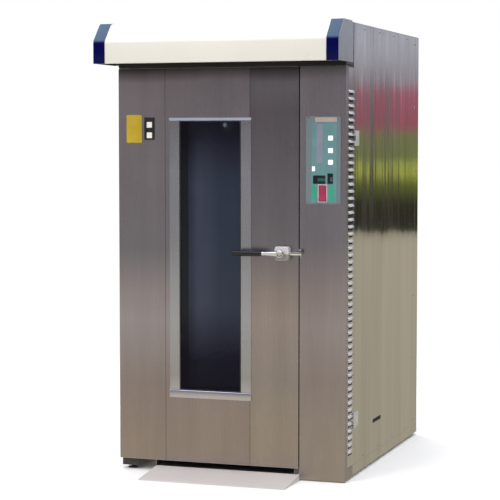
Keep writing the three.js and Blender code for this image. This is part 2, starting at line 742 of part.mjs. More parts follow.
// A butt hinge with its axis beside a side face. direction is -1 on the left side and 1 on the right.
function hingeParts(direction, axisOut, radius, height, z, axisAlong, fixedLeaf, movingLeaf) {
  const side = direction * halfWidth;
  const axis = [direction * (halfWidth + axisOut), axisAlong, 0];
  const third = height / 3;
  const low = z - height / 2;
  const pin = radius * hingePinShare;
  const sorted = (...span) => span.sort((a, b) => a - b);
  // the moving leaf is welded on, so it starts inside the sheet; the fixed one is screwed on
  const leaf = (span, seat, from, to) => {
    const near = Math.sign(span - axisAlong);
    const y = sorted(axisAlong + near * (radius + 1), span);
    const web = sorted(axisAlong + near * radius * 0.6, axisAlong + near * (radius + 1.5));
    const plateX = sorted(side + direction * seat, side + direction * (fit + leafThickness));
    return [block(plateX, y, [from, to]), [sorted(side + direction * fit, axis[0]), web]];
  };
  const knuckle = (from, to, bore) => tube('z', radius, bore, from, to, axis, 12);
  const [fixedPlate, [fixedX, fixedY]] = leaf(fixedLeaf, fit, low, low + height);
  const [movingPlate, [movingX, movingY]] = leaf(movingLeaf, -0.5, low, low + height);
  const fixed = [
    fixedPlate,
    knuckle(low, low + third - fit, pin - 1),
    knuckle(low + 2 * third + fit, low + height, pin - 1),
    block(fixedX, fixedY, [low, low + third - fit]),
    block(fixedX, fixedY, [low + 2 * third + fit, low + height]),
    rod('z', pin, low - 2, low + height + 2, axis, 12),
  ];
  const moving = [
    movingPlate,
    knuckle(low + third, low + 2 * third, boreFor(pin, 12)),
    block(movingX, movingY, [low + third, low + 2 * third]),
  ];
  const bore = rod('z', boreFor(pin, 12), low + third - 1, low + 2 * third + 1, axis, 12);
  return { fixed: join(...fixed), moving: cut(join(...moving), bore) };
}

const doorAxisY = frontDepth + sheet;
const coverAxisY = frontDepth + 4;

function doorHinges() {
  return ['lower', 'upper'].map((place, i) => {
    const { fixed, moving } = hingeParts(-1, doorHingeX, doorHingeRadius, doorHingeHeight, doorHingeZ[i],
      doorAxisY, doorAxisY + 74, doorAxisY - 74);
    return { fixed: piece(`door_hinge_${place}`, 'steel', fixed), moving };
  });
}

function coverHinges() {
  return ['lower', 'upper'].map((place, i) => {
    const { fixed, moving } = hingeParts(1, coverHingeX, coverHingeRadius, coverHingeHeight, coverHingeZ[i],
      coverAxisY, coverAxisY + coverHingeLeaf, coverAxisY - 16);
    return { fixed: piece(`cover_hinge_${place}`, 'galvanised', fixed), moving };
  });
}

// ---- Control column -----------------------------------------------------------------------------------

function switchHole(y) {
  const play = switchPlay / 2;
  return block([switchX - switchWidth / 2 - play / 2, switchX + switchWidth / 2 + play / 2], y,
    [switchZ - switchHeight / 2 - switchPlay, switchZ + switchHeight / 2 + switchPlay]);
}

function buttonHoles(y) {
  const half = buttonSize / 2 + buttonPlay;
  return buttonZ.map((z) => block([buttonX - half, buttonX + half], y, [z - half, z + half]));
}

function controlColumn() {
  const back = portalFront - fit;
  const height = [columnBottom, columnTop];
  const outer = block([columnLeft, halfWidth], [0, back], height);
  const inner = block([columnLeft + sheet, halfWidth - sheet], [sheet, back - sheet],
    [columnBottom + sheet, columnTop - sheet]);
  const mouth = block([halfWidth - coverFold - 6, halfWidth + 1], [columnReturn, back + 1],
    [coverBottom - coverPlay, coverTop + coverPlay]);
  const holes = [...buttonHoles([-1, sheet + 1]), switchHole([-1, sheet + 1])];
  return piece('control_column', 'steel', cut(outer, inner, mouth, ...holes));
}

function controlPlate() {
  const shape = roundedRectangle(plateLeft, plateRight, plateBottom, plateTop, 6);
  const plate = prism('y', shape, -plateThickness, -fit, 2);
  const holes = [...buttonHoles([-plateThickness - 1, 1]), switchHole([-plateThickness - 1, 1])];
  return piece('control_plate', 'steel', cut(plate, ...holes));
}

function buttons() {
  return buttonZ.map((z, i) => {
    const half = buttonSize / 2;
    const shape = roundedRectangle(buttonX - half, buttonX + half, z - half, z + half, 3);
    const front = -plateThickness - buttonStandout;
    return piece(`push_button_${i + 1}`, 'white', prism('y', shape, front, front + buttonDepth, 1));
  });
}

// A rocker with two flats that meet at a shallow ridge, lying tilted in its off position.
function mainSwitch() {
  const half = switchHeight / 2;
  const rise = half * Math.tan(THREE.MathUtils.degToRad(switchTilt));
  const rocker = prism('x', outline([
    [-rise - 1, -half], [-1, 0], [-rise - 1, half], [switchThickness - 4, half - 3],
    [switchThickness, 8], [switchThickness, -8], [switchThickness - 4, -half + 3],
  ]), -switchWidth / 2, switchWidth / 2);
  rocker.rotateX(THREE.MathUtils.degToRad(-switchTilt));
  return piece('main_switch', 'red', rocker.translate(switchX, -plateThickness, switchZ));
}

function electricsPlate() {
  const y1 = portalFront - 2 * fit - sheet;
  const [left, right] = [columnLeft + electricsPlateSide[0], halfWidth - electricsPlateSide[1]];
  const plate = block([left, right], [y1 - electricsPlateThickness, y1], electricsPlateZ);
  const blocks = electricsBlocks.map(([z, height]) => (
    block([columnLeft + electricsBlockSide[0], halfWidth - electricsBlockSide[1]],
      [y1 - electricsBlockDepth - sheet, y1 - sheet], [z, z + height])));
  const rails = electricsRailZ.map((z) => block([left + electricsRailSide, right - electricsRailSide],
    [y1 - electricsRail, y1 - sheet], [z, z + electricsRail]));
  return piece('electrics_plate', 'galvanised', join(plate, ...blocks, ...rails));
}

// The cover on the right of the column, with a ladder of pressed louvres that are open downwards.
function serviceCover(hingeLeaves) {
  const face = block([halfWidth - sheet, halfWidth], [coverFront, coverBack], [coverBottom, coverTop]);
  const folds = [
    block([halfWidth - coverFold, halfWidth], [coverFront, coverFront + sheet], [coverBottom, coverTop]),
    block([halfWidth - coverFold, halfWidth], [coverFront, coverBack - 6], [coverBottom, coverBottom + sheet]),
    block([halfWidth - coverFold, halfWidth], [coverFront, coverBack - 6], [coverTop - sheet, coverTop]),
  ];
  const middle = (coverFront + coverBack) / 2;
  const count = Math.floor((louvreTop - louvreBottom) / louvrePitch) + 1;
  const scoops = [];
  const mouths = [];
  const span = louvreLength / 2;
  for (let i = 0; i < count; i += 1) {
    const z = louvreBottom + i * louvrePitch;
    const scoop = outline([
      [halfWidth - sheet / 2, z], [halfWidth + louvreBulge, z], [halfWidth - sheet / 2, z + louvreHeight],
    ]);
    const mouth = outline([
      [halfWidth - sheet - 1, z - 0.01], [halfWidth + louvreBulge - 2 * louvreWall, z - 0.01],
      [halfWidth - sheet - 1, z + louvreHeight - louvreWall],
    ]);
    scoops.push(prism('y', scoop, middle - span, middle + span));
    mouths.push(prism('y', mouth, middle - span + louvreWall, middle + span - louvreWall));
  }
  return piece('service_cover', 'steel', cut(join(face, ...folds, ...hingeLeaves, ...scoops), ...mouths));
}

// ---- Rack ---------------------------------------------------------------------------------------------

function rackLadder(side) {
  const outer = rackWidth / 2;
  const x = (from, to) => [axisX + side * from, axisX + side * to].sort((a, b) => a - b);
  const height = [rackBottom + rackTube + fit, rackTop - rackTube - fit];
  const y0 = axisY - rackDepth / 2;
  const y1 = axisY + rackDepth / 2;
  const posts = [[y0, y0 + rackTube], [y1 - rackTube, y1]].map((y) => block(x(outer - rackTube, outer), y, height));
  const legOuter = outer - rackTube + 1;
  const runners = Array.from({ length: tierCount }, (_, i) => {
    const z = tierBottom + i * tierPitch;
    const inner = legOuter - 1 - runnerLeg;
    const angle = outline([
      [legOuter, z], [inner, z], [inner, z + runnerSheet], [legOuter - 1 - runnerSheet, z + runnerSheet],
      [legOuter - 1 - runnerSheet, z + runnerLeg], [legOuter, z + runnerLeg],
    ].map(([u, v]) => [axisX + side * u, v]));
    return prism('y', angle, y0 + 4, y1 - 4);
  });
  return join(...posts, ...runners);
}

function rackRectangle(z) {
  const outer = block([axisX - rackWidth / 2, axisX + rackWidth / 2], [axisY - rackDepth / 2, axisY + rackDepth / 2],
    [z, z + rackTube]);
  const inner = block([axisX - rackWidth / 2 + rackTube, axisX + rackWidth / 2 - rackTube],
    [axisY - rackDepth / 2 + rackTube, axisY + rackDepth / 2 - rackTube], [z - 1, z + rackTube + 1]);
  return [outer, inner];
}

// The top of the rack: a frame, a crossbar, and two cheeks that hold the hanger pin over the turning axis.
function rackTopFrame() {
  const [outer, inner] = rackRectangle(rackTop - rackTube);
  const spread = hookThickness / 2 + 6;
  const bar = block([axisX - rackTube, axisX + rackTube],
    [axisY - rackDepth / 2 + 1, axisY + rackDepth / 2 - 1], [rackTop - rackTube, rackTop]);
  const cheek = new THREE.Shape();
  cheek.moveTo(axisX - rackTube, rackTop - 1);
  cheek.lineTo(axisX + rackTube, rackTop - 1);
  cheek.lineTo(axisX + hangerPinRadius * 1.9, hookZ);
  cheek.absarc(axisX, hookZ, hangerPinRadius * 1.9, 0, Math.PI);
  const cheeks = [-spread - 6, spread].map((y) => prism('y', cheek, axisY + y, axisY + y + 6, 3));
  const pin = rod('y', hangerPinRadius, -spread - 8, spread + 8, [axisX, axisY, hookZ], 16);
  return piece('rack_top', 'steel', join(cut(outer, inner), bar, ...cheeks, pin));
}

function wheelPlaces() {
  const dx = rackWidth / 2 - rackTube;
  const dy = rackDepth / 2 - wheelRadius - 12;
  return [[-dx, -dy], [dx, -dy], [-dx, dy], [dx, dy]].map(([x, y]) => [axisX + x, axisY + y]);
}

function rackBase() {
  const [outer, inner] = rackRectangle(rackBottom);
  const bar = block([axisX - rackWidth / 2 + 1, axisX + rackWidth / 2 - 1], [axisY - rackTube / 2, axisY + rackTube / 2],
    [rackBottom, rackBottom + rackTube]);
  const forks = wheelPlaces().flatMap(([x, y]) => {
    const half = wheelWidth / 2 + wheelPlay;
    const cheek = new THREE.Shape();
    cheek.moveTo(y - 30, rackBottom + 1);
    cheek.lineTo(y - 12, wheelZ);
    cheek.absarc(y, wheelZ, 12, Math.PI, 2 * Math.PI);
    cheek.lineTo(y + 30, rackBottom + 1);
    const cheeks = [-half - forkSheet, half].map((out) => prism('x', cheek, x + out, x + out + forkSheet, 3));
    const bridge = block([x - half - forkSheet, x + half + forkSheet], [y - 36, y + 36],
      [wheelZ + wheelRadius + wheelPlay, rackBottom + 1]);
    const axle = rod('x', axleRadius, -half - forkSheet - 4, half + forkSheet + 4, [x, y, wheelZ], 10);
    return [...cheeks, bridge, axle];
  });
  return piece('rack_base', 'steel', join(cut(outer, inner), bar, ...forks));
}

function casterWheels() {
  const half = wheelWidth / 2;
  const bore = boreFor(axleRadius, 14);
  const names = ['front_left', 'front_right', 'rear_left', 'rear_right'];
  return wheelPlaces().map(([x, y], i) => piece(`caster_wheel_${names[i]}`, 'rubber', turned('x', [
    [bore, -half], [wheelRadius * 0.36, -half], [wheelRadius * 0.5, -half * 0.6], [wheelRadius * 0.86, -half * 0.9],
    [wheelRadius, -half * 0.5], [wheelRadius, half * 0.5], [wheelRadius * 0.86, half * 0.9],
    [wheelRadius * 0.5, half * 0.6], [wheelRadius * 0.36, half], [bore, half], [bore, -half],
  ], [x, y, wheelZ], 14)));
}

// ---- Drive --------------------------------------------------------------------------------------------

function toothedOutline(teeth, phase) {
  const pitchRadius = teeth * toothModule / 2;
  const tip = pitchRadius + toothModule * 0.9;
  const root = pitchRadius - toothModule * 1.15;
  const step = 2 * Math.PI / teeth;
  const shape = new THREE.Shape();
  for (let i = 0; i < teeth; i += 1) {
    const middle = phase + i * step;
    [[-0.3, root], [-0.12, tip], [0.12, tip], [0.3, root]].forEach(([share, radius], k) => {
      const angle = middle + share * step;
      const point = [radius * Math.cos(angle), radius * Math.sin(angle)];
      if (i + k === 0) shape.moveTo(...point);
      else shape.lineTo(...point);
    });
  }
  return shape;
}

function hookShaft() {
  const neckBottom = hookZ + hookRadius - 8;
  const shaft = turned('z', [
    [0, neckBottom], [shaftRadius * 0.8, neckBottom], [shaftRadius, neckBottom + 16], [shaftRadius, bearingTop + fit],
    [collarRadius, bearingTop + fit], [collarRadius, bearingTop + fit + collarHeight],
    [shaftRadius, bearingTop + fit + collarHeight], [shaftRadius, gearBottom + gearThickness + 18],
    [0, gearBottom + gearThickness + 18],
  ], [axisX, axisY, 0], 16);
  const seat = hangerPinRadius + fit;
  const eye = new THREE.Shape();
  eye.absarc(axisX, hookZ + hookEntry / 2, hookRadius, 0, 2 * Math.PI);
  const half = hookThickness / 2;
  const disc = prism('y', eye, axisY - half, axisY + half, 9);
  const slot = new THREE.Shape();
  slot.absarc(axisX, hookZ, seat, Math.PI, 2 * Math.PI);
  slot.lineTo(axisX + seat, hookZ + hookEntry - seat);
  slot.lineTo(axisX + 2 * hookRadius, hookZ + hookEntry - seat);
  slot.lineTo(axisX + 2 * hookRadius, hookZ + hookEntry + seat);
  slot.lineTo(axisX, hookZ + hookEntry + seat);
  slot.absarc(axisX, hookZ + hookEntry, seat, Math.PI / 2, Math.PI);
  const throat = prism('y', slot, axisY - half - 1, axisY + half + 1, 4);
  return piece('hook_shaft', 'darkSteel', join(cut(disc, throat), shaft));
}

function driveGear() {
  const shape = toothedOutline(gearTeeth, Math.PI / gearTeeth);
  const bore = new THREE.Path();
  bore.absarc(0, 0, boreFor(shaftRadius, 16), 0, 2 * Math.PI, true);
  shape.holes.push(bore);
  const windows = 4;
  const radius = gearPitchRadius * 0.56;
  for (let i = 0; i < windows; i += 1) {
    const angle = 2 * Math.PI * i / windows;
    const hole = new THREE.Path();
    hole.absarc(radius * Math.cos(angle), radius * Math.sin(angle), gearPitchRadius * 0.17, 0, 2 * Math.PI, true);
    shape.holes.push(hole);
  }
  const gear = prism('z', shape, gearBottom, gearBottom + gearThickness, 8);
  return piece('drive_gear', 'darkSteel', gear.translate(axisX, axisY, 0));
}

function drivePinion() {
  const shape = toothedOutline(pinionTeeth, 0);
  const bore = new THREE.Path();
  bore.absarc(0, 0, boreFor(pinionShaftRadius, 16), 0, 2 * Math.PI, true);
  shape.holes.push(bore);
  const pinion = prism('z', shape, gearBottom, gearBottom + gearThickness, 8);
  return piece('drive_pinion', 'darkSteel', pinion.translate(pinionX, axisY, 0));
}

// A beam across the roof space with the bearing tube of the hook shaft through it.
function bearingBridge() {
  const end = halfWidth - sheet - fit;
  const half = bridgeWidth / 2;
  const channel = outline([
    [axisY - half, bridgeBottom], [axisY - half + 4, bridgeBottom], [axisY - half + 4, bridgeTop - 4],
    [axisY + half - 4, bridgeTop - 4], [axisY + half - 4, bridgeBottom], [axisY + half, bridgeBottom],
    [axisY + half, bridgeTop], [axisY - half, bridgeTop],
  ]);
  const beam = prism('x', channel, -end, end);
  const housing = turned('z', [
    [0, ceilingZ + sheet + fit], [bearingRadius, ceilingZ + sheet + fit], [bearingRadius, bridgeTop],
    [bearingRadius + 14, bridgeTop], [bearingRadius + 14, bridgeTop + 8], [bearingRadius, bridgeTop + 12],
    [bearingRadius, bearingTop], [0, bearingTop],
  ], [axisX, axisY, 0]);
  const bore = rod('z', boreFor(shaftRadius, 24), ceilingZ, bearingTop + 1, [axisX, axisY, 0], 24);
  return piece('bearing_bridge', 'darkSteel', cut(join(beam, housing), bore));
}

function gearmotor() {
  const half = gearboxSize / 2;
  const box = prism('z', roundedRectangle(pinionX - half, pinionX + half, axisY - half, axisY + half, 14),
    bridgeTop + fit, bridgeTop + fit + gearboxHeight, 2);
  const motorZ = jacketTop + 4 + gearmotorRadius;
  const start = axisY + half - 2;
  const ribs = [];
  for (let i = 0; i < 3; i += 1) {
    const y = start + gearmotorFinStart + i * gearmotorFinPitch;
    ribs.push([gearmotorRadius - 3, y], [gearmotorRadius, y + 1], [gearmotorRadius, y + gearmotorFinWidth - 1],
      [gearmotorRadius - 3, y + gearmotorFinWidth]);
  }
  const neck = gearboxHeight / 2 - 7;
  const motor = turned('y', [
    [0, start], [neck, start], [neck, start + 8], [gearmotorRadius - 3, start + 8], ...ribs,
    [gearmotorRadius - 3, start + gearmotorLength - 12], [gearmotorRadius - 12, start + gearmotorLength],
    [0, start + gearmotorLength],
  ], [pinionX, 0, motorZ], 16);
  const terminalBox = block(terminalBoxX.map((x) => pinionX + x), terminalBoxY.map((y) => start + y),
    [motorZ - terminalBoxHalf, motorZ + terminalBoxHalf]);
  const shaft = rod('z', pinionShaftRadius, bridgeTop + gearboxHeight - 2, gearBottom + gearThickness + 6,
    [pinionX, axisY, 0], 16);
  return piece('gearmotor', 'drive', join(box, motor, terminalBox, shaft));
}

// ---- Hot air ------------------------------------------------------------------------------------------

// A centrifugal wheel: a back plate, swept blades and an inlet ring, on a shaft up through the ceiling.
function fanImpeller() {
  const bottom = fanTop - fanBladeHeight;
  const plate = tube('z', fanRadius, fanHubRadius - 2, fanTop - fanPlate, fanTop, [axisX, fanY, 0], 20);
  const ring = tube('z', fanRadius, fanInnerRadius, bottom, bottom + fanPlate, [axisX, fanY, 0], 20);
  const hub = turned('z', [
    [0, bottom + 30], [fanHubRadius * 0.6, bottom + 34], [fanHubRadius, fanTop - 24], [fanHubRadius, fanTop + 4],
    [fanShaftRadius, fanTop + 10], [fanShaftRadius, jacketTop + 2], [0, jacketTop + 2],
  ], [axisX, fanY, 0], 20);
  const blades = Array.from({ length: fanBlades }, (_, i) => {
    const sweep = 0.6;
    const start = 2 * Math.PI * i / fanBlades;
    const steps = 3;
    const along = (offset) => Array.from({ length: steps + 1 }, (_unused, k) => {
      const share = k / steps;
      const radius = fanInnerRadius + 2 + share * (fanRadius - fanInnerRadius - 4);
      const angle = start + sweep * share * share + offset / radius;
      return [radius * Math.cos(angle), radius * Math.sin(angle)];
    });
    const blade = prism('z', outline([...along(-fanPlate / 2), ...along(fanPlate / 2).reverse()]),
      bottom + 1, fanTop - 1);
    return blade.translate(axisX, fanY, 0);
  });
  return piece('fan_impeller', 'galvanised', join(plate, ring, hub, ...blades));
}

function fanMotor() {
  const seat = jacketTop + fit;
  const fins = [];
  for (let i = 0; i < 3; i += 1) {
    const z = seat + 26 + i * 30;
    fins.push([fanMotorRadius - 5, z], [fanMotorRadius, z + 2], [fanMotorRadius, z + 12], [fanMotorRadius - 5, z + 14]);
  }
  const top = seat + fanMotorHeight;
  const body = turned('z', [
    [0, seat + 4], [fanShaftRadius + 3, seat + 4], [fanShaftRadius + 3, seat], [fanMotorRadius + 22, seat],
    [fanMotorRadius + 22, seat + 8], [fanMotorRadius - 5, seat + 12], ...fins,
    [fanMotorRadius - 5, top - 12], [fanMotorRadius - 20, top], [0, top],
  ], [axisX, fanY, 0], 16);
  return piece('fan_motor', 'drive', body);
}

class ArcCurve extends THREE.Curve {
  constructor(centre, radius, gapAngle) {
    super();
    Object.assign(this, { centre, radius, gapAngle });
  }

  getPoint(t, target = new THREE.Vector3()) {
    const angle = this.gapAngle / 2 + t * (2 * Math.PI - this.gapAngle);
    return target.set(this.centre[0] + this.radius * Math.cos(angle),
      this.centre[1] + this.radius * Math.sin(angle), this.centre[2]);
  }
}

// Ring heating elements under the fan wheel, both ends of each in one terminal block.
function heaterBank() {
  const rings = Array.from({ length: heaterRings }, (_, i) => (
    bentTube(new ArcCurve([axisX, fanY, heaterTop - i * heaterPitch], heaterRingRadius, 0.24), heaterTubeRadius, 6, 18)));
  const reach = axisX + heaterRingRadius;
  const terminal = block([reach - 22, reach + 26], [fanY - 34, fanY + 34],
    [heaterTop - (heaterRings - 1) * heaterPitch - 20, heaterTop + 20]);
  const stay = block([reach + 20, chamberRight - sheet - fit], [fanY - 20, fanY + 20],
    [heaterTop - heaterPitch - 8, heaterTop - heaterPitch + 8]);
  return piece('heater_bank', 'galvanised', join(...rings, terminal, stay));
}

function chamberLamp() {
  const back = chamberBack - fit;
  return piece('chamber_lamp', 'lamp', turned('y', [
    [0, back - 46], [20, back - 42], [34, back - 28], [38, back - 10], [48, back - 8], [48, back], [0, back],
  ], [lampX, 0, lampZ], 20));
}

// ---- The whole oven -----------------------------------------------------------------------------------

const oven = new THREE.Group();
const hinges = doorHinges();
const serviceHinges = coverHinges();

oven.add(baseFrame(), chamberFloor(), chamberLeftWall(), chamberRearWall(), chamberRightWall(), chamberCeiling());
oven.add(airDuctPanel(), insulationJacket(), ...sidePanels(), rearPanel(), roofPanel(), doorPortal(), headerCasing());
oven.add(...hood(), ramp(), latchKeeper(), controlColumn(), controlPlate(), electricsPlate());
oven.add(...hinges.map((hinge) => hinge.fixed), ...serviceHinges.map((hinge) => hinge.fixed));
oven.add(bearingBridge(), gearmotor(), fanMotor(), heaterBank(), chamberLamp());

const door = new THREE.Group();
door.add(...doorSkins(hinges.map((hinge) => hinge.moving)), doorLiner(), doorInsulation(), doorGasket());
door.add(...windowPieces(), latchHousing());

const lever = new THREE.Group();
lever.add(leverArm(), leverGrip());

const rack = new THREE.Group();
rack.add(hookShaft(), driveGear(), rackTopFrame(), rackBase(), ...casterWheels());
rack.add(piece('rack_left', 'steel', rackLadder(-1)), piece('rack_right', 'steel', rackLadder(1)));

const group = new THREE.Group();
group.add(oven, door, lever, rack, serviceCover(serviceHinges.map((hinge) => hinge.moving)));
group.add(drivePinion(), fanImpeller(), ...buttons(), mainSwitch());
group.position.y = originY;

export default group;
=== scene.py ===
import json
import math

import bmesh
import bpy
from bpy.props import FloatProperty, FloatVectorProperty, IntProperty, PointerProperty
from mathutils import Matrix, Vector


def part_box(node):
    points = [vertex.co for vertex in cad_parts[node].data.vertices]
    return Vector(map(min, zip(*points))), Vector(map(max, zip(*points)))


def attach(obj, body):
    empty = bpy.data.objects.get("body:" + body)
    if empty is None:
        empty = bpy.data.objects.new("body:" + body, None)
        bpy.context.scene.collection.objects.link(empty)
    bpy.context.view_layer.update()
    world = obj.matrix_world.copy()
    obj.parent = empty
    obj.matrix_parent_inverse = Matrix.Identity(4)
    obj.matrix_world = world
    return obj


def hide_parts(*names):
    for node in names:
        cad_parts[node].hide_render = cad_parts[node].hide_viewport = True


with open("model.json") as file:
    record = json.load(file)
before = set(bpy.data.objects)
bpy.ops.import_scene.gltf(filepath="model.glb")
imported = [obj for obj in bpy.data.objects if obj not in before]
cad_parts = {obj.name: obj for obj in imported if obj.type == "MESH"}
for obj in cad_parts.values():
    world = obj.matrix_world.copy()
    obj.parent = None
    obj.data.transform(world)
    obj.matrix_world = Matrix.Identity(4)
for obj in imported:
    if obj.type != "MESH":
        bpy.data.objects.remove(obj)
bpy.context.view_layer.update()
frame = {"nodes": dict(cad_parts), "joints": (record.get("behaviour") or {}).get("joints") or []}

bl_info = {
    "name": "Rotating Rack Oven",
    "version": (1, 0, 0),
    "blender": (4, 5, 0),
    "location": "View3D > Sidebar > Rack Oven",
    "description": "Dresses the rack oven's solids with finishes and modelled pieces, and sets the studio",
    "category": "Object",
}

# ---- Places taken from the frame ----------------------------------------------------------------

HOOD_LOW, HOOD_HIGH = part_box("hood_shell")
CAP_LOW, CAP_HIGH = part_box("hood_cap_right")
OUTER_LOW, OUTER_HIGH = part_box("door_glass_outer")
INNER_LOW, INNER_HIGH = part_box("door_glass_inner")
TRIM_LOW, TRIM_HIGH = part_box("window_trim")
DOOR_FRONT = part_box("door_skin_left")[0].y
PLATE_LOW, PLATE_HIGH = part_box("control_plate")
SWITCH_LOW, SWITCH_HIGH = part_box("main_switch")
COVER_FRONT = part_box("service_cover")[0].y
SIDE_LOW, SIDE_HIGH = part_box("right_side_panel")
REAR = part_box("rear_panel")[1].y
HEADER_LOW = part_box("header_casing")[0]
LAMP_LOW, LAMP_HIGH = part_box("chamber_lamp")
JOINTS = {joint["name"]: Vector(joint["pos_m"]) for joint in frame["joints"] if "pos_m" in joint}
LEVER_AXIS = JOINTS["lever_turn"]

HAIR = 0.0001     # clearance for picking and cutting by place
PAST = 0.01       # how far a cutter stands past what it cuts


# ---- Modelling helpers --------------------------------------------------------------------------

def done(piece=None):
    """Leaves edit mode."""
    if bpy.context.mode != "OBJECT":
        bpy.ops.object.mode_set(mode="OBJECT")
    return piece


def start_clean():
    """Object mode with nothing selected."""
    done()
    bpy.ops.object.select_all(action="DESELECT")


def take(piece):
    """Makes the piece the only selected and active one."""
    start_clean()
    piece.select_set(True)
    bpy.context.view_layer.objects.active = piece


def edit(piece):
    """Opens the piece in edit mode with all of it selected."""
    take(piece)
    bpy.ops.object.mode_set(mode="EDIT")
    bpy.ops.mesh.select_all(action="SELECT")


def settle(name):
    """Names the new object and puts its place into its mesh, so that the object is at the origin."""
    piece = bpy.context.object
    piece.name = piece.data.name = name
    take(piece)
    bpy.ops.object.transform_apply(location=True, rotation=True, scale=True)
    return piece


def new_block(name, low, high):
    """A block between two corners."""
    start_clean()
    low, high = Vector(low), Vector(high)
    bpy.ops.mesh.primitive_cube_add(size=1, location=(low + high) / 2)
    bpy.context.object.scale = high - low
    return settle(name)


def new_cylinder(name, radius, depth, centre, axis="Z", sides=24):
    start_clean()
    turn = {"Y": (math.pi / 2, 0, 0), "Z": (0, 0, 0)}[axis]
    bpy.ops.mesh.primitive_cylinder_add(vertices=sides, radius=radius, depth=depth, location=centre, rotation=turn)
    return settle(name)


def pick(piece, kind, test):
    """Selects in edit mode the faces, edges or vertices that pass the test."""
    if bpy.context.mode != "EDIT_MESH":
        edit(piece)
    bpy.ops.mesh.select_mode(type=kind)
    bpy.ops.mesh.select_all(action="DESELECT")
    mesh = bmesh.from_edit_mesh(piece.data)
    found = [part for part in {"FACE": mesh.faces, "EDGE": mesh.edges, "VERT": mesh.verts}[kind] if test(part)]
    for part in found:
        part.select_set(True)
    mesh.select_flush_mode()
    bmesh.update_edit_mesh(piece.data)
    if not found:
        raise RuntimeError(f"nothing to select on {piece.name}")


def middle(edge):
    return (edge.verts[0].co + edge.verts[1].co) / 2


def along(edge, axis):
    """True if the edge runs along the axis, 0 to 2."""
    return abs((edge.verts[1].co - edge.verts[0].co).normalized()[axis]) > 0.999


def depthwise(edge):
    return along(edge, 1)


def front_of(y):
    """A test for edges in front of a place in y."""
    return lambda edge: middle(edge).y < y


def round_edges(piece, width, segments=2, test=lambda edge: True):
    """Bevels the sharp edges that pass the test."""
    pick(piece, "EDGE", lambda e: (len(e.link_faces) != 2 or e.calc_face_angle(0) > 0.35) and test(e))
    bpy.ops.mesh.bevel(offset=width, offset_type="OFFSET", segments=segments, profile=0.5, clamp_overlap=True)
    return done(piece)


def new_plate(name, low, high, corner, steps=4):
    """A block that faces the front, with rounded corners."""
    return round_edges(new_block(name, low, high), corner, steps, depthwise)


def modify(piece, kind, **values):
    """Adds a modifier and applies it."""
    take(piece)
    bpy.ops.object.modifier_add(type=kind)
    modifier = piece.modifiers[-1]
    for name, value in values.items():
        setattr(modifier, name, value)
    bpy.ops.object.modifier_apply(modifier=modifier.name)


def cut_away(piece, *cutters, how="DIFFERENCE"):
    """Takes the cutters out of the piece, or keeps what is in them, and deletes them."""
    for cutter in cutters:
        modify(piece, "BOOLEAN", operation=how, object=cutter, solver="EXACT")
        bpy.data.objects.remove(cutter)
    return piece


def hole(low, high, side, top):
    """A cutter through y round a box, wider by a margin at its sides and another at its top and bottom."""
    margin = Vector((side, PAST, top))
    return new_block("cutter", low - margin, high + margin)


def draw_line(name, points, closed=False):
    """A chain of edges through the points, drawn vertex by vertex; a closed one is filled."""
    start_clean()
    bpy.ops.mesh.primitive_plane_add(size=0.01, location=points[0])
    piece = settle(name)
    edit(piece)
    bpy.ops.mesh.select_mode(type="VERT")
    bpy.ops.mesh.merge(type="CENTER")
    last = Vector(points[0])
    for point in points[1:]:
        bpy.ops.mesh.extrude_vertices_move(TRANSFORM_OT_translate={"value": Vector(point) - last})
        last = Vector(point)
    if closed:
        bpy.ops.mesh.select_all(action="SELECT")
        bpy.ops.mesh.edge_face_add()
    return done(piece)


def round_corner(piece, place, width, segments=4):
    """Rounds one corner of a drawn line."""
    pick(piece, "VERT", lambda v: (v.co - Vector(place)).length < HAIR)
    bpy.ops.mesh.bevel(offset=width, segments=segments, affect="VERTICES")
    done(piece)


def pull(piece, way):
    """Extrudes a drawn line or face along a vector."""
    edit(piece)
    bpy.ops.mesh.extrude_region_move(TRANSFORM_OT_translate={"value": way})
    bpy.ops.mesh.select_all(action="SELECT")
    bpy.ops.mesh.normals_make_consistent(inside=False)
    return done(piece)


def knit(piece, smoothing=35):
    """Merges doubled vertices, turns the faces outwards and shades them smooth."""
    edit(piece)
    bpy.ops.mesh.remove_doubles(threshold=1e-6)
    bpy.ops.mesh.normals_make_consistent(inside=False)
    return smooth(done(piece), smoothing)


def spin_round(name, profile, centre, axis="Z", steps=32):
    """A profile of (radius, place along the axis) spun a full turn."""
    centre = Vector(centre)
    way = Vector([float(letter == axis) for letter in "XYZ"])
    out = Vector((0, 0, 1)) if axis == "X" else Vector((1, 0, 0))
    piece = draw_line(name, [centre + out * r + way * a for r, a in profile])
    edit(piece)
    bpy.ops.mesh.spin(steps=steps, angle=2 * math.pi, center=centre, axis=way)
    return knit(piece)


def both_ends(low, high, *steps):
    """A closed profile with the same steps of (radius, distance from the end) at both its ends."""
    profile = [(r, low + step) for r, step in steps] + [(r, high - step) for r, step in reversed(steps)]
    return [*profile, profile[0]]


def smooth(piece, angle=32):
    take(piece)
    bpy.ops.object.shade_smooth_by_angle(angle=math.radians(angle))
    return piece


def duplicate(piece, change=Matrix.Identity(4)):
    """A copy with its own mesh, moved or turned."""
    other = piece.copy()
    other.data = piece.data.copy()
    bpy.context.collection.objects.link(other)
    other.data.transform(change)
    return other


def join_pieces(name, made):
    start_clean()
    for other in made:
        other.select_set(True)
    bpy.context.view_layer.objects.active = made[0]
    if len(made) > 1:
        bpy.ops.object.join()
    made[0].name = made[0].data.name = name
    return made[0]


def copy_to(name, piece, places, turn=Matrix.Identity(4)):
    """Joins copies of the piece, turned and moved by each offset, and deletes the piece."""
    made = [duplicate(piece, Matrix.Translation(place) @ turn) for place in places]
    bpy.data.objects.remove(piece)
    return join_pieces(name, made)


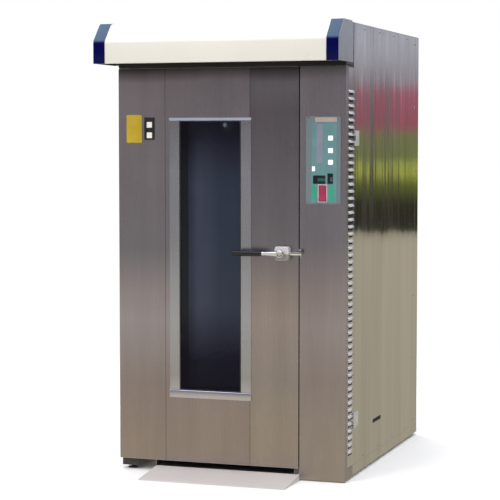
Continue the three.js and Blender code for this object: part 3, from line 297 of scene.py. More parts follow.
def dress(piece, body, look, slot, *replaced):
    """Gives a finished piece its material, its body and the nodes that it stands for."""
    piece.data.materials.clear()
    piece.data.materials.append(finishes[look])
    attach(piece, body)
    if replaced:
        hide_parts(*replaced)


def shade_faces_black(piece, test):
    """Gives the faces that pass the test a black finish, as painted shade."""
    piece.data.materials.append(finishes["painted_shade_black"])
    pick(piece, "FACE", test)
    piece.active_material_index = 1
    bpy.ops.object.material_slot_assign()
    done(piece)


def screw_heads(name, places, facing, radius, rise):
    """Domed screw heads with a cross recess, in one piece. Each place is the point the head sits on."""
    head = new_cylinder(name, radius, rise, (0, 0, rise / 2), sides=16)
    pick(head, "FACE", lambda f: f.normal.z > 0.9)
    bpy.ops.mesh.inset(thickness=radius * 0.22, depth=0)
    bpy.ops.transform.translate(value=(0, 0, radius * 0.06))
    done(head)
    pick(head, "VERT", lambda v: abs(v.co.z - rise) < 1e-6 and v.co.xy.length > radius * 0.95)
    bpy.ops.transform.resize(value=(0.9, 0.9, 1), center_override=(0, 0, rise))
    done(head)
    arm, wide, deep = radius * 0.52, radius * 0.15, rise * 0.45
    for sx, sy in ((arm, wide), (wide, arm)):
        cut_away(head, new_block("cutter", (-sx, -sy, rise - deep), (sx, sy, rise * 2)))
    smooth(head, 30)
    angle, axis = {"-Y": (90, "X"), "+X": (90, "Y"), "-X": (-90, "Y")}[facing]
    return copy_to(name, head, places, Matrix.Rotation(math.radians(angle), 4, axis))


# ---- Finishes -----------------------------------------------------------------------------------

finishes = {}


def scaled(tone, share):
    return tuple(min(1, c * share) for c in tone)


class Nodes:
    """A node tree in the making. Place is the coordinate that its textures lie in."""

    def __init__(self, owner, coordinate):
        owner.use_nodes = True
        self.tree = owner.node_tree
        self.place = self.node("ShaderNodeTexCoord").outputs[coordinate]

    def feed(self, socket, value):
        """Links an output to the socket or sets its value. A tone gets its alpha."""
        if isinstance(value, bpy.types.NodeSocket):
            self.tree.links.new(value, socket)
        else:
            socket.default_value = (*value, 1) if socket.type == "RGBA" else value

    def node(self, kind, *sources, **settings):
        """A new node: its first inputs take the sources, and its properties and inputs the settings by name."""
        made = self.tree.nodes.new(kind)
        for key, value in settings.items():
            if hasattr(made, key):
                setattr(made, key, value)
            else:
                self.feed(made.inputs[key], value)
        for socket, source in zip(made.inputs, sources):
            self.feed(socket, source)
        return made

    def noise(self, scale, detail=2.0, roughness=0.5, distortion=0.0, shift=(0, 0, 0)):
        """Noise over the object, of scale waves per metre on each axis."""
        scale = scale if isinstance(scale, tuple) else (scale,) * 3
        spread = self.node("ShaderNodeMapping", self.place, shift, Scale=scale)
        return self.node("ShaderNodeTexNoise", Vector=spread.outputs[0], Scale=1.0, Detail=detail,
                         Roughness=roughness, Distortion=distortion).outputs["Fac"]

    def span(self, value, low, high, start=0.3, end=0.7):
        """Maps a value from start..end to low..high."""
        return self.node("ShaderNodeMapRange", value, start, end, low, high).outputs["Result"]

    def share(self, value, start=0.3, end=0.7):
        """Maps a value from start..end to 0..1."""
        return self.span(value, 0, 1, start, end)

    def maths(self, operation, one, two):
        return self.node("ShaderNodeMath", one, two, operation=operation).outputs[0]

    def length(self, vector):
        return self.node("ShaderNodeVectorMath", vector, operation="LENGTH").outputs["Value"]

    def ramp(self, value, *stops, ease="LINEAR"):
        """Colours along a value: stops are (place, colour)."""
        made = self.node("ShaderNodeValToRGB", value)
        made.color_ramp.interpolation = ease
        elements = made.color_ramp.elements
        while len(elements) < len(stops):
            elements.new(0.5)
        for element, (place, colour) in zip(elements, stops):
            element.position = place
            element.color = (*colour, 1)
        return made.outputs["Color"]

    def mix(self, share, one, two, how="MIX"):
        made = self.node("ShaderNodeMix", data_type="RGBA", blend_type=how)
        sockets = {socket.identifier: socket for socket in (*made.inputs, *made.outputs)}
        for name, value in (("Factor_Float", share), ("A_Color", one), ("B_Color", two)):
            self.feed(sockets[name], value)
        return sockets["Result_Color"]

    def times(self, one, two):
        return self.mix(1.0, one, two, "MULTIPLY")

    def axis(self, index):
        """One of the coordinates of the place."""
        return self.node("ShaderNodeSeparateXYZ", self.place).outputs[index]

    def blend(self, share, one, two):
        """A mix of two shaders."""
        return self.node("ShaderNodeMixShader", share, one, two).outputs[0]


class Finish(Nodes):
    """A material in the making, on its Principled shader."""

    def __init__(self, name, **constants):
        self.material = bpy.data.materials.new(name)
        super().__init__(self.material, "Object")
        self.shader = self.tree.nodes["Principled BSDF"]
        for key, value in constants.items():
            self.feed(self.shader.inputs[key.replace("_", " ").title().replace("Ior", "IOR")], value)

    def finished(self, colour, rough, *bumps):
        """The material, with its colour, its roughness and stacked bumps of (height, distance, strength)."""
        for name, value in (("Base Color", colour), ("Roughness", rough)):
            if value is not None:
                self.feed(self.shader.inputs[name], value)
        normal = None
        for height, distance, strength in bumps:
            bump = self.node("ShaderNodeBump", Strength=strength, Distance=distance, Height=height)
            if normal:
                self.feed(bump.inputs["Normal"], normal)
            normal = bump.outputs["Normal"]
            self.feed(self.shader.inputs["Normal"], normal)
        return self.material

    def surfaced(self, output):
        """The material, with another shader as its surface."""
        self.feed(self.tree.nodes["Material Output"].inputs["Surface"], output)
        return self.material


def steel_finish(name, tone, rough=(0.24, 0.36), way=2, wave=0.0, ripple=0.0, streak=0.12, stain=0.0,
                 stain_tone=(0.3, 0.2, 0.1), hood_shade=None, painted_tones_by_height=None):
    """Stainless sheet: fine grain along one axis, broad streaks, finger marks and some waviness.
    Between two given heights it is darkened by painted shade, as under the hood. Its tones along z, over 2 m, are
    painted reflections and shade that change with height."""
    def grain(fine, long, detail, **more):
        return finish.noise(tuple(long if i == way else fine for i in range(3)), detail, **more)

    finish = Finish(name, metallic=1.0)
    fine = grain(620, 5, 3, roughness=0.6)
    cloud = finish.noise((2.1, 2.1, 1.7), 4, 0.6, shift=(7, 2, 4))
    broad = finish.share(grain(9, 0.55, 3, roughness=0.55, shift=(3, 5, 1)))
    colour = finish.ramp(broad, (0, scaled(tone, 1 - streak)), (0.5, tone), (1, scaled(tone, 1 + streak)))
    colour = finish.mix(finish.span(fine, 0, 0.16, 0.35, 0.65), colour, scaled(tone, 0.45))
    if stain:
        spots = finish.noise((5, 5, 4), 5, 0.65, shift=(1, 8, 3))
        colour = finish.mix(finish.span(spots, 0, stain, 0.5, 0.72), colour, stain_tone)
    # painted reflection and shade: the tone is multiplied by a ramp over height
    if painted_tones_by_height:
        colour = finish.times(colour, finish.ramp(finish.share(finish.axis(2), 0, 2), *painted_tones_by_height))
    # painted shade under the hood: near-black between two heights, with a noisy edge
    if hood_shade:
        edge = finish.maths("ADD", finish.axis(2), finish.span(cloud, -0.012, 0.012))
        colour = finish.mix(finish.span(edge, 0, 0.86, *hood_shade), colour, (0.012, 0.01, 0.011))
    hair = finish.span(grain(2300, 22, 1), -0.04, 0.05)
    bumps = [(fine, 0.00005, 0.5)]
    if ripple:
        bumps.append((grain(34, 0.8, 2, shift=(6, 3, 2)), ripple, 1.0))
    if wave:
        bumps.append((grain(5.5, 0.5, 2, roughness=0.45, distortion=0.4, shift=(2, 1, 6)), wave, 1.0))
    return finish.finished(colour, finish.maths("ADD", finish.span(cloud, *rough), hair), *bumps)


def paint_finish(name, tone, rough=0.3, dirt=0.05, dirt_tone=(0.35, 0.3, 0.22), coat=0.3, shine=0.5,
                 painted_sky_sheen=None, shaded=None):
    """Sprayed enamel: a little orange peel, faint dirt and a clear gloss. Faces turned up can take a lighter
    tone as painted sky reflection, and shaded is a height with the tone below it."""
    finish = Finish(name, coat_weight=coat, coat_roughness=0.12)
    finish.shader.inputs["Specular IOR Level"].default_value = shine
    cloud = finish.noise(4, 5, 0.6)
    tint = finish.ramp(finish.share(cloud), (0, scaled(tone, 0.96)), (1, tone))
    specks = finish.noise((38, 38, 26), 4, 0.7, shift=(4, 4, 1))
    if shaded:
        below, lower_tone = shaded
        tint = finish.mix(finish.span(finish.axis(2), 1, 0, below - 0.006, below + 0.002), tint, lower_tone)
    # painted sky reflection: faces turned up take a lighter tone
    if painted_sky_sheen:
        facing = finish.node("ShaderNodeSeparateXYZ", finish.node("ShaderNodeNewGeometry").outputs["Normal"])
        tint = finish.mix(finish.share(facing.outputs["Z"], 0.2, 0.5), tint, painted_sky_sheen)
    return finish.finished(finish.mix(finish.span(specks, 0, dirt, 0.55, 0.75), tint, dirt_tone),
                           finish.span(cloud, rough - 0.05, rough + 0.08), (finish.noise(420, 1), 0.00004, 0.6))


def worn_finish(name, tone, worn, cloud, show, rough, texture, **constants):
    """A tone that is worn or dusty in clouds. Cloud is their noise, show how much of the worn tone they
    bring and between which values, rough the roughness at both ends, texture the noise and depth of the bump."""
    finish = Finish(name, **constants)
    cloud = finish.noise(*cloud)
    share, start, end = show
    grain, detail, depth, strength = texture
    return finish.finished(finish.mix(finish.span(cloud, 0, share, start, end), tone, worn),
                           finish.span(cloud, *rough), (finish.noise(grain, detail), depth, strength))


def plastic_finish(name, tone, rough=0.35, grain=300, depth=0.00005, worn=None, glow=0.0):
    """Moulded plastic with a fine texture and slightly paler worn areas."""
    pale = worn or tuple(min(1, c * 1.35 + 0.01) for c in tone)
    light = {"emission_color": tone, "emission_strength": glow} if glow else {}
    return worn_finish(name, tone, pale, (14, 4, 0.6), (0.35, 0.45, 0.75), (rough - 0.06, rough + 0.1),
                       (grain, 2, depth, 0.6), **light)


def rubber_finish(name, tone=(0.025, 0.025, 0.027)):
    return worn_finish(name, tone, (0.16, 0.15, 0.13), (30, 5, 0.65), (0.3, 0.5, 0.75), (0.55, 0.8),
                       (260, 3, 0.00012, 0.7))


def chrome_finish(name, tone=(0.82, 0.83, 0.9)):
    return worn_finish(name, scaled(tone, 0.93), tone, (70, 5, 0.7), (1, 0.3, 0.7), (0.07, 0.17),
                       (26, 1, 0.0001, 0.4), metallic=1.0)


def zinc_finish(name, tone=(0.52, 0.55, 0.57)):
    """Zinc plating with its crystal pattern."""
    finish = Finish(name, metallic=0.85)
    cells = finish.node("ShaderNodeTexVoronoi", Scale=95.0, Vector=finish.place).outputs["Distance"]
    return finish.finished(finish.ramp(finish.share(cells, 0.1, 0.7), (0, scaled(tone, 0.8)), (1, tone)),
                           finish.span(cells, 0.34, 0.5, 0, 0.8), (finish.noise(160, 3), 0.00008, 0.5))


def dark_metal_finish(name, tone=(0.07, 0.07, 0.075)):
    """Primed or machined dark steel with rubbed and slightly rusty spots."""
    finish = Finish(name, metallic=0.7)
    cloud = finish.noise(18, 5, 0.65)
    worn = finish.mix(finish.span(cloud, 0, 0.5, 0.5, 0.7), tone, scaled(tone, 2.4))
    rust = finish.span(finish.noise(60, 4, 0.7, shift=(5, 1, 9)), 0, 0.12, 0.55, 0.75)
    return finish.finished(finish.mix(rust, worn, (0.14, 0.06, 0.025)), finish.span(cloud, 0.38, 0.6),
                           (finish.noise(240, 3), 0.0001, 0.6))


def wool_finish(name):
    """Mineral wool: loose yellow-brown fibres."""
    finish = Finish(name, roughness=0.95)
    fibres = finish.noise((900, 160, 420), 4, 0.7, 2.0)
    tone = finish.ramp(fibres, (0.3, (0.3, 0.23, 0.1)), (0.55, (0.52, 0.43, 0.2)), (0.75, (0.68, 0.6, 0.36)))
    return finish.finished(finish.mix(finish.span(finish.noise(22, 4), 0, 0.35), tone, (0.45, 0.36, 0.18)), None,
                           (fibres, 0.001, 0.9))


def window_finish(name, tint, shine, haze=None):
    """Tinted heat-proof glass: see-through and dark, with a faintly wavy mirror on top. Haze is the tone of the
    film that baking leaves on the inner pane, strongest at mid-height; it is stronger to the left as painted light
    that fills the frame's shadow."""
    finish = Finish(name)
    finish.tree.nodes.remove(finish.shader)
    film = finish.noise((7, 7, 1.1), 3, shift=(2, 2, 2))
    height = finish.share(finish.axis(2), 0.4, 1.9)
    through = finish.node("ShaderNodeBsdfTransparent", Color=tint).outputs[0]
    if haze:
        up = finish.ramp(height, *((place, scaled(haze, share)) for place, share in (
            (0.1, 0.12), (0.2, 0.55), (0.3, 1), (0.7, 1), (0.8, 0.6), (0.87, 0.25))))
        # painted light: the film is made brighter to the left, filling the shadow that the frame casts on it
        painted_fill_across = finish.ramp(finish.share(finish.axis(0), INNER_LOW.x, INNER_HIGH.x), (0.12, (2.9, 2.7, 2.3)),
                             (0.28, (2, 1.85, 1.5)), (0.5, (1.15, 1.15, 1.05)), (1.0, (0.95, 1, 0.95)))
        coating = finish.node("ShaderNodeBsdfDiffuse", Color=finish.times(up, painted_fill_across)).outputs[0]
        through = finish.blend(finish.span(film, 0.5, 0.75), through, coating)
    # painted reflection: the mirror's tone changes with height
    tone = finish.ramp(height, (0.0, (0.2, 0.18, 0.29)), (0.14, (0.22, 0.2, 0.33)), (0.27, (0.5, 0.54, 0.64)),
                       (0.76, (0.82, 0.95, 1.0)), (0.85, (0.66, 0.62, 0.76)))
    wave = finish.node("ShaderNodeBump", Strength=0.5, Distance=0.0006, Height=film).outputs["Normal"]
    mirror = finish.node("ShaderNodeBsdfGlossy", Color=tone, Roughness=finish.span(film, 0.02, 0.07), Normal=wave)
    facing = finish.node("ShaderNodeFresnel", IOR=shine).outputs[0]
    return finish.surfaced(finish.blend(facing, through, mirror.outputs[0]))


def lamp_finish(name):
    """Frosted lamp glass with the bulb's glow at its middle."""
    finish = Finish(name, roughness=0.16, base_color=(0.32, 0.33, 0.33), emission_color=(1.0, 0.93, 0.78))
    bulb = ((LAMP_LOW.x + LAMP_HIGH.x) / 2, 0, (LAMP_LOW.z + LAMP_HIGH.z) / 2)
    offset = finish.node("ShaderNodeVectorMath", finish.place, bulb, operation="SUBTRACT")
    flat = finish.node("ShaderNodeVectorMath", offset.outputs[0], (1, 0, 1), operation="MULTIPLY")
    glow = finish.span(finish.length(flat.outputs[0]), 6.0, 0.2, 0.003, 0.016)
    finish.feed(finish.shader.inputs["Emission Strength"], glow)
    return finish.finished(None, None, (finish.noise(240, 1), 0.0003, 0.6))


def floor_finish():
    """Pale floor that fades into the background away from the object."""
    finish = Finish("studio_floor_pale", roughness=0.9, specular_ior_level=0.1)
    finish.finished(finish.ramp(finish.noise(3, 4), (0.2, (0.88, 0.88, 0.875)), (0.8, (0.91, 0.91, 0.905))), None)
    clear = finish.node("ShaderNodeBsdfTransparent").outputs[0]
    return finish.surfaced(finish.blend(finish.share(finish.length(finish.place), 1.7, 4.6),
                                        finish.shader.outputs[0], clear))


def studio_world(scene):
    """White to the camera, soft grey light, and bands of light and colour that only the steel mirrors."""
    scene.world = bpy.data.worlds.new("studio_world")
    scene.world.use_nodes = True
    scene.world.node_tree.nodes.clear()
    sky = Nodes(scene.world, "Generated")
    x, y, z = (sky.axis(i) for i in range(3))
    height = sky.share(z, -0.3, 0.3)
    # what the front mirrors: warm ground below, a dull purple grey above
    front = sky.ramp(height, (0.0, (0.78, 0.7, 0.52)), (0.22, (0.82, 0.75, 0.56)), (0.34, (0.62, 0.56, 0.47)),
                     (0.41, (0.36, 0.33, 0.335)), (0.5, (0.2, 0.175, 0.2)), (0.62, (0.11, 0.095, 0.12)),
                     (0.8, (0.16, 0.15, 0.18)), (1.0, (0.34, 0.34, 0.37)))
    plain = sky.ramp(height, (0.0, (0.44, 0.45, 0.45)), (0.4, (0.44, 0.45, 0.455)), (0.5, (0.3, 0.3, 0.295)),
                     (0.6, (0.36, 0.36, 0.38)), (1.0, (0.6, 0.6, 0.63)), ease="EASE")
    # what the right side mirrors at the photograph's angle: paving, shade, hedge, flowers, haze
    garden = sky.ramp(height, (0.0, (0.43, 0.4, 0.31)), (0.25, (0.47, 0.425, 0.33)), (0.4, (0.5, 0.45, 0.345)),
                      (0.409, (0.45, 0.405, 0.31)), (0.414, (0.03, 0.028, 0.022)), (0.44, (0.035, 0.034, 0.02)),
                      (0.458, (0.17, 0.2, 0.035)), (0.468, (0.59, 0.64, 0.11)), (0.477, (0.55, 0.6, 0.12)),
                      (0.484, (0.24, 0.29, 0.09)), (0.506, (0.26, 0.29, 0.1)), (0.514, (0.54, 0.11, 0.17)),
                      (0.544, (0.57, 0.13, 0.21)), (0.558, (0.43, 0.4, 0.47)), (0.6, (0.51, 0.52, 0.6)),
                      (1.0, (0.66, 0.68, 0.76)))
    muted = sky.ramp(height, (0.409, (0.45, 0.405, 0.31)), (0.414, (0.05, 0.045, 0.04)), (0.46, (0.11, 0.11, 0.075)),
                     (0.48, (0.17, 0.17, 0.12)), (0.51, (0.2, 0.175, 0.175)), (0.55, (0.3, 0.27, 0.29)),
                     (0.575, (0.42, 0.41, 0.46)), (0.6, (0.5, 0.51, 0.59)), (1.0, (0.66, 0.68, 0.76)))
    # above the paving the picture breaks up into patches, and it is duller towards the front edge
    shade = sky.mix(sky.share(sky.noise((150, 30, 24), 3), 0.4, 0.6), (0.55,) * 3, (1.3,) * 3)
    patchy = sky.mix(sky.share(sky.noise((260, 260, 12), 2), 0.38, 0.46), muted, garden)
    broken = sky.mix(sky.share(x, 0.2575, 0.2605), patchy, muted)
    garden = sky.mix(sky.share(z, -0.055, -0.05), garden, sky.times(broken, shade))
    sideways = sky.node("ShaderNodeVectorMath", sky.place, (0.27, 0.963, 0), operation="DOT_PRODUCT")
    back = sky.mix(sky.share(sideways.outputs["Value"], 0.9, 0.97), plain, garden)
    around = sky.mix(sky.share(y, -0.25, 0.3), front, back)
    above = sky.maths("MULTIPLY", sky.share(z, 0.42, 0.72), sky.share(y, 0.45, 0.1))
    mirrored = sky.mix(above, around, (2.1, 2.2, 2.5))
    soft = sky.ramp(sky.share(z, -1, 1), (0.0, (0.5, 0.49, 0.47)), (0.48, (0.62, 0.62, 0.62)),
                    (0.6, (0.72, 0.72, 0.73)), (1.0, (1.0, 1.0, 1.02)))
    light, mirror, white = (sky.node("ShaderNodeBackground", Color=colour).outputs[0]
                            for colour in (soft, mirrored, (1.0, 1.0, 1.0)))
    rays = sky.node("ShaderNodeLightPath").outputs
    lit = sky.blend(rays["Is Glossy Ray"], light, mirror)
    sky.node("ShaderNodeOutputWorld", sky.blend(rays["Is Camera Ray"], lit, white))


# ---- Settings that a user would change ----------------------------------------------------------

def size_setting(name, description, default):
    return FloatProperty(name=name, description=description, default=default, min=0.0005, max=0.2, unit="LENGTH",
                         precision=4)


def colour_setting(name, description, *default):
    return FloatVectorProperty(name=name, description=description, default=default, min=0, max=1, size=3,
                               subtype="COLOR")


class OvenSizes(bpy.types.PropertyGroup):
    """Sizes of the modelled details."""
    hood_bend: size_setting("Hood bend", "Radius of the bend between the hood's face and its slope", 0.012)
    hood_sheet: size_setting("Hood sheet", "Thickness of the hood's sheet", 0.003)
    cap_sheet: size_setting("Cap thickness", "How thick the blue end caps are", 0.0022)
    trim_gap: size_setting("Frame gap", "Width of the fine joints between the window frame's bars", 0.0008)
    screw_head: size_setting("Screw head", "Radius of a panel screw's head", 0.0055)
    screw_rise: size_setting("Screw head height", "How far a panel screw stands out", 0.0022)
    sheet_edge: size_setting("Sheet edge", "Rounding of the steel sheets' edges", 0.0008)
    housing_corner: size_setting("Latch corner", "Corner radius of the latch housing", 0.012)
    grip_sides: IntProperty(name="Grip steps", description="Steps round the handle", default=32, min=12, max=96)


class OvenColours(bpy.types.PropertyGroup):
    """Colours of the finishes."""
    front_steel: colour_setting("Front steel", "Stainless sheet of the door and the column", 0.455, 0.438, 0.452)
    side_steel: colour_setting("Side steel", "Stainless sheet of the sides", 0.6, 0.59, 0.57)
    trim_steel: colour_setting("Trim steel", "Stainless frame round the window", 0.54, 0.59, 0.66)
    chamber_steel: colour_setting("Chamber steel", "Stainless lining of the chamber", 0.5, 0.48, 0.45)
    hood_white: colour_setting("Hood white", "Cream-white enamel of the hood", 0.69, 0.665, 0.6)
    cap_blue: colour_setting("Cap blue", "Navy plastic of the hood's end caps", 0.0008, 0.0018, 0.052)
    keypad_teal: colour_setting("Keypad teal", "Printed film of the keypad", 0.105, 0.225, 0.235)
    plate_yellow: colour_setting("Plate yellow", "Bare yellow plate on the door", 0.43, 0.3, 0.013)
    switch_red: colour_setting("Switch red", "Lit rocker of the main switch", 0.29, 0.03, 0.075)


def oven_sizes():
    return bpy.context.scene.oven_sizes


def tone_of(name):
    return tuple(getattr(bpy.context.scene.oven_colours, name))


# ---- Operators ----------------------------------------------------------------------------------

class OVEN_OT_studio(bpy.types.Operator):
    """Sets the camera of the photograph, a pale floor that fades out, and soft studio light"""
    bl_idname = "oven.studio"
    bl_label = "Studio and Camera"

    def execute(self, context):
        scene = context.scene
        scene.view_settings.view_transform = "Standard"
        start_clean()
        pitch, heading = math.radians(90 - 3.652), math.radians(18.884)
        bpy.ops.object.camera_add(location=(2.86596, -8.70305, 1.68799), rotation=(pitch, 0, heading))
        camera = context.object
        camera.name = "studio_camera"
        camera.data.sensor_width = 36
        camera.data.lens = 123.459
        camera.data.clip_end = 100
        scene.camera = camera

        start_clean()
        bpy.ops.mesh.primitive_circle_add(vertices=96, radius=14, fill_type="NGON", location=(0, 0, -0.0005))
        floor = context.object
        floor.name = "studio_floor"
        floor.data.materials.append(floor_finish())
        floor.visible_glossy = False

        aim = Vector((0, 0, 1.1))
        for name, place, side, power, colour in (
                ("key_light", (-2.6, -6.0, 4.6), 3.4, 175, (1.0, 0.985, 0.96)),
                ("fill_light", (5.2, -3.6, 3.2), 3.6, 70, (0.96, 0.98, 1.0)),
                ("top_light", (0.3, -0.6, 6.4), 4.6, 230, (1.0, 1.0, 1.0)),
                ("back_light", (-2.4, 5.6, 4.4), 3.2, 120, (1.0, 0.99, 0.97))):
            start_clean()
            bpy.ops.object.light_add(type="AREA", location=place)
            lamp = context.object
            lamp.name = name
            lamp.data.shape = "SQUARE"
            lamp.data.size = side
            lamp.data.energy = power
            lamp.data.color = colour
            lamp.rotation_euler = (aim - Vector(place)).to_track_quat("-Z", "Y").to_euler()
            lamp.visible_glossy = False
            lamp.visible_camera = False
        studio_world(scene)
        return {"FINISHED"}


class OVEN_OT_finishes(bpy.types.Operator):
    """Makes the finishes and puts them on the solids that have them"""
    bl_idname = "oven.finishes"
    bl_label = "Finishes"

    def execute(self, context):
        nodes = frame["nodes"]
        bare = set(nodes)

        def look(key, material, names=""):
            """Keeps a finish under its key and puts it on the nodes named."""
            finishes[key] = material
            for name in names.split():
                bare.remove(name)
                nodes[name].data.materials.clear()
                nodes[name].data.materials.append(material)

        def print_finish(name, tone):
            return plastic_finish(name, tone, grain=900)

        def display_finish(name, tone, rough):
            return plastic_finish(name, tone, rough, depth=0.00001)

        front, side, chamber = (tone_of(f"{place}_steel") for place in ("front", "side", "chamber"))
        sheet = {"rough": (0.25, 0.36), "wave": 0.0016, "streak": 0.07}
        # the front steels take painted shade under the hood, and painted reflection and shade by height
        look("front", steel_finish("door_steel", front, **sheet, hood_shade=(1.985, 2.06), painted_tones_by_height=(
            (0.12, (0.94, 0.84, 0.8)), (0.23, (0.92, 0.84, 0.86)), (0.39, (1.22, 1.2, 1.34)),
            (0.46, (1.13, 1.1, 1.18)), (0.57, (0.75, 0.77, 0.9)), (0.97, (0.94, 0.91, 1)))),
             "door_skin_left door_skin_centre door_portal")
        # the right door skin is a copy with its own painted tones by height: darker at the top, lighter low
        look("front_right", steel_finish("door_right_steel", front, **sheet, hood_shade=(1.98, 2.055), painted_tones_by_height=(
            (0.12, (1, 0.93, 0.84)), (0.25, (0.97, 0.92, 0.93)), (0.4, (1.17, 1.1, 1.09)), (0.47, (1.08, 1.01, 1)),
            (0.6, (0.68, 0.7, 0.81)), (0.92, (0.56, 0.55, 0.64)), (0.97, (0.7, 0.7, 0.8)))), "door_skin_right")
        look("column", steel_finish("column_steel", front, **sheet, hood_shade=(1.985, 2.09), painted_tones_by_height=(
            (0.12, (0.95, 0.9, 0.85)), (0.25, (0.93, 0.87, 0.9)), (0.39, (1.13, 1.07, 1.14)),
            (0.47, (1.04, 0.98, 1.05)), (0.6, (0.76, 0.78, 0.92)), (0.97, (0.96, 0.96, 1.06)))), "control_column")
        look("side", steel_finish("side_steel", side, (0.03, 0.06), wave=0.004, ripple=0.0006, streak=0.1),
             "left_side_panel right_side_panel rear_panel service_cover")
        # the header below the hood takes painted shade
        look("header", steel_finish("header_steel", front, (0.27, 0.38), way=0, wave=0.001, hood_shade=(2.16, 2.12)),
             "header_casing")
        look("roof", steel_finish("roof_steel", side, (0.28, 0.42), way=1, wave=0.003, stain=0.15,
                                  stain_tone=(0.35, 0.32, 0.28)), "roof_panel")
        # the window frame, hinges and liner take painted reflection tones by height
        look("trim", steel_finish("trim_steel", tone_of("trim_steel"), (0.2, 0.3), streak=0.05, painted_tones_by_height=(
            (0.22, (1.08, 1, 1.03)), (0.25, (0.88, 0.84, 0.83)), (0.4, (1.1, 1.06, 1.1)), (0.5, (1.07, 1.04, 1.07)),
            (0.6, (0.88, 0.88, 0.92)), (0.77, (1.06, 1.06, 1.1)), (0.9, (0.84, 0.8, 0.8)))),
             "window_trim door_hinge_lower door_hinge_upper door_liner")
        look("chamber", steel_finish("chamber_steel", chamber, (0.3, 0.45), stain=0.35, stain_tone=(0.4, 0.27, 0.12)),
             "chamber_floor chamber_left_wall chamber_rear_wall chamber_right_wall chamber_ceiling air_duct_panel")
        look("rack", steel_finish("rack_steel", chamber, stain=0.25, stain_tone=(0.36, 0.25, 0.13)),
             "rack_top rack_left rack_right rack_base")
        look("cheek", steel_finish("cheek_steel", (0.49, 0.53, 0.545), (0.16, 0.26), streak=0.06))
        look("louvre", steel_finish("louvre_steel", (0.93, 0.93, 0.92), (0.24, 0.34), streak=0.03))
        look("screw", steel_finish("screw_steel", (0.42, 0.41, 0.4), (0.3, 0.4)))

        look("ramp", paint_finish("ramp_pale", (0.58, 0.54, 0.52), rough=0.42, dirt=0.35,
                                  dirt_tone=(0.42, 0.37, 0.35), coat=0.0), "ramp")
        look("control_plate", paint_finish("control_plate_grey", (0.135, 0.178, 0.195), rough=0.38, coat=0.1),
             "control_plate")
        look("white", paint_finish("hood_white", tone_of("hood_white")), "hood_shell")
        # the caps' upward slopes get a lighter tone as painted sky reflection
        look("blue", paint_finish("cap_blue", tone_of("cap_blue"), rough=0.14, dirt=0.0, coat=0.0, shine=0.12,
                                  painted_sky_sheen=(0.05, 0.082, 0.14)), "hood_cap_left hood_cap_right")
        look("motor", paint_finish("motor_blue", (0.03, 0.1, 0.24), rough=0.4, dirt=0.3), "gearmotor fan_motor")
        look("hinge", paint_finish("hinge_pale", (0.4, 0.4, 0.375), rough=0.35, coat=0.1),
             "cover_hinge_lower cover_hinge_upper")
        look("latch", paint_finish("latch_pale", (0.58, 0.53, 0.53), dirt=0.2, dirt_tone=(0.3, 0.27, 0.26),
                                   shaded=(LEVER_AXIS.z, (0.25, 0.22, 0.21))))

        look("dark", dark_metal_finish("dark_steel"), "base_frame bearing_bridge hook_shaft drive_gear drive_pinion")
        look("zinc", zinc_finish("zinc_plate"), "electrics_plate heater_bank fan_impeller")
        look("chrome", chrome_finish("latch_chrome"), "latch_keeper latch_housing lever_arm")
        look("rubber", rubber_finish("seal_rubber"), "door_gasket")
        look("wheel", rubber_finish("wheel_resin", (0.02, 0.018, 0.017)),
             " ".join(name for name in nodes if name.startswith("caster_wheel")))
        look("wool", wool_finish("mineral_wool"), "insulation_jacket door_insulation")
        look("glass", window_finish("window_glass", (0.66, 0.7, 0.8), 1.5), "door_glass_outer")
        look("inner_glass", window_finish("inner_window_glass", (0.5, 0.53, 0.58), 1.4, haze=(0.3, 0.3, 0.335)),
             "door_glass_inner")
        look("lamp", lamp_finish("lamp_glass"), "chamber_lamp")

        look("black", plastic_finish("grip_black", (0.006, 0.006, 0.0065), rough=0.3), "lever_grip")
        # the buttons' and small lamp's faint glow is a painted highlight for their white glare
        look("white_painted_glow", plastic_finish("button_white", (0.88, 0.93, 0.92), rough=0.25, glow=0.25),
             "push_button_1 push_button_2 push_button_3")
        look("red", plastic_finish("switch_red", tone_of("switch_red"), rough=0.2, worn=(0.5, 0.1, 0.2)),
             "main_switch")
        # near-black finish for painted shade: hood insides, window sleeve, louvre openings and slot backing
        look("painted_shade_black", plastic_finish("hood_inside_dark", (0.006, 0.006, 0.006), rough=0.8))
        look("yellow", plastic_finish("plate_yellow", tone_of("plate_yellow"), rough=0.3))
        look("plate_black", plastic_finish("plate_black", (0.012, 0.012, 0.013), rough=0.3))
        look("off_white", plastic_finish("field_white", (0.75, 0.74, 0.68)))
        look("bezel", plastic_finish("bezel_pale", (0.5, 0.42, 0.42)))
        look("teal", print_finish("keypad_teal", tone_of("keypad_teal")))
        look("green", print_finish("field_green", (0.02, 0.3, 0.17)))
        look("pale_strip", print_finish("strip_pale", (0.38, 0.3, 0.28)))
        look("grey_strip", print_finish("strip_grey", (0.2, 0.21, 0.27)))
        look("display", display_finish("display_dark", (0.004, 0.012, 0.014), 0.12))
        look("display_green", display_finish("display_green", (0.02, 0.085, 0.065), 0.15))
        look("display_grey", display_finish("display_grey", (0.07, 0.075, 0.09), 0.15))
        if bare:
            raise RuntimeError(f"nodes without a finish: {sorted(bare)}")

        sheets = """door_skin_left door_skin_centre door_skin_right control_column control_plate left_side_panel
            right_side_panel rear_panel roof_panel header_casing ramp door_liner door_portal rack_top rack_left
            rack_right rack_base base_frame electrics_plate bearing_bridge"""
        for name in sheets.split():
            nodes[name].modifiers.new("weld", "WELD").merge_threshold = 0.00001
            edge = nodes[name].modifiers.new("soft_edge", "BEVEL")
            edge.width = oven_sizes().sheet_edge
            edge.segments = 2
            edge.limit_method = "ANGLE"
            edge.angle_limit = math.radians(40)
            edge.harden_normals = False
        return {"FINISHED"}


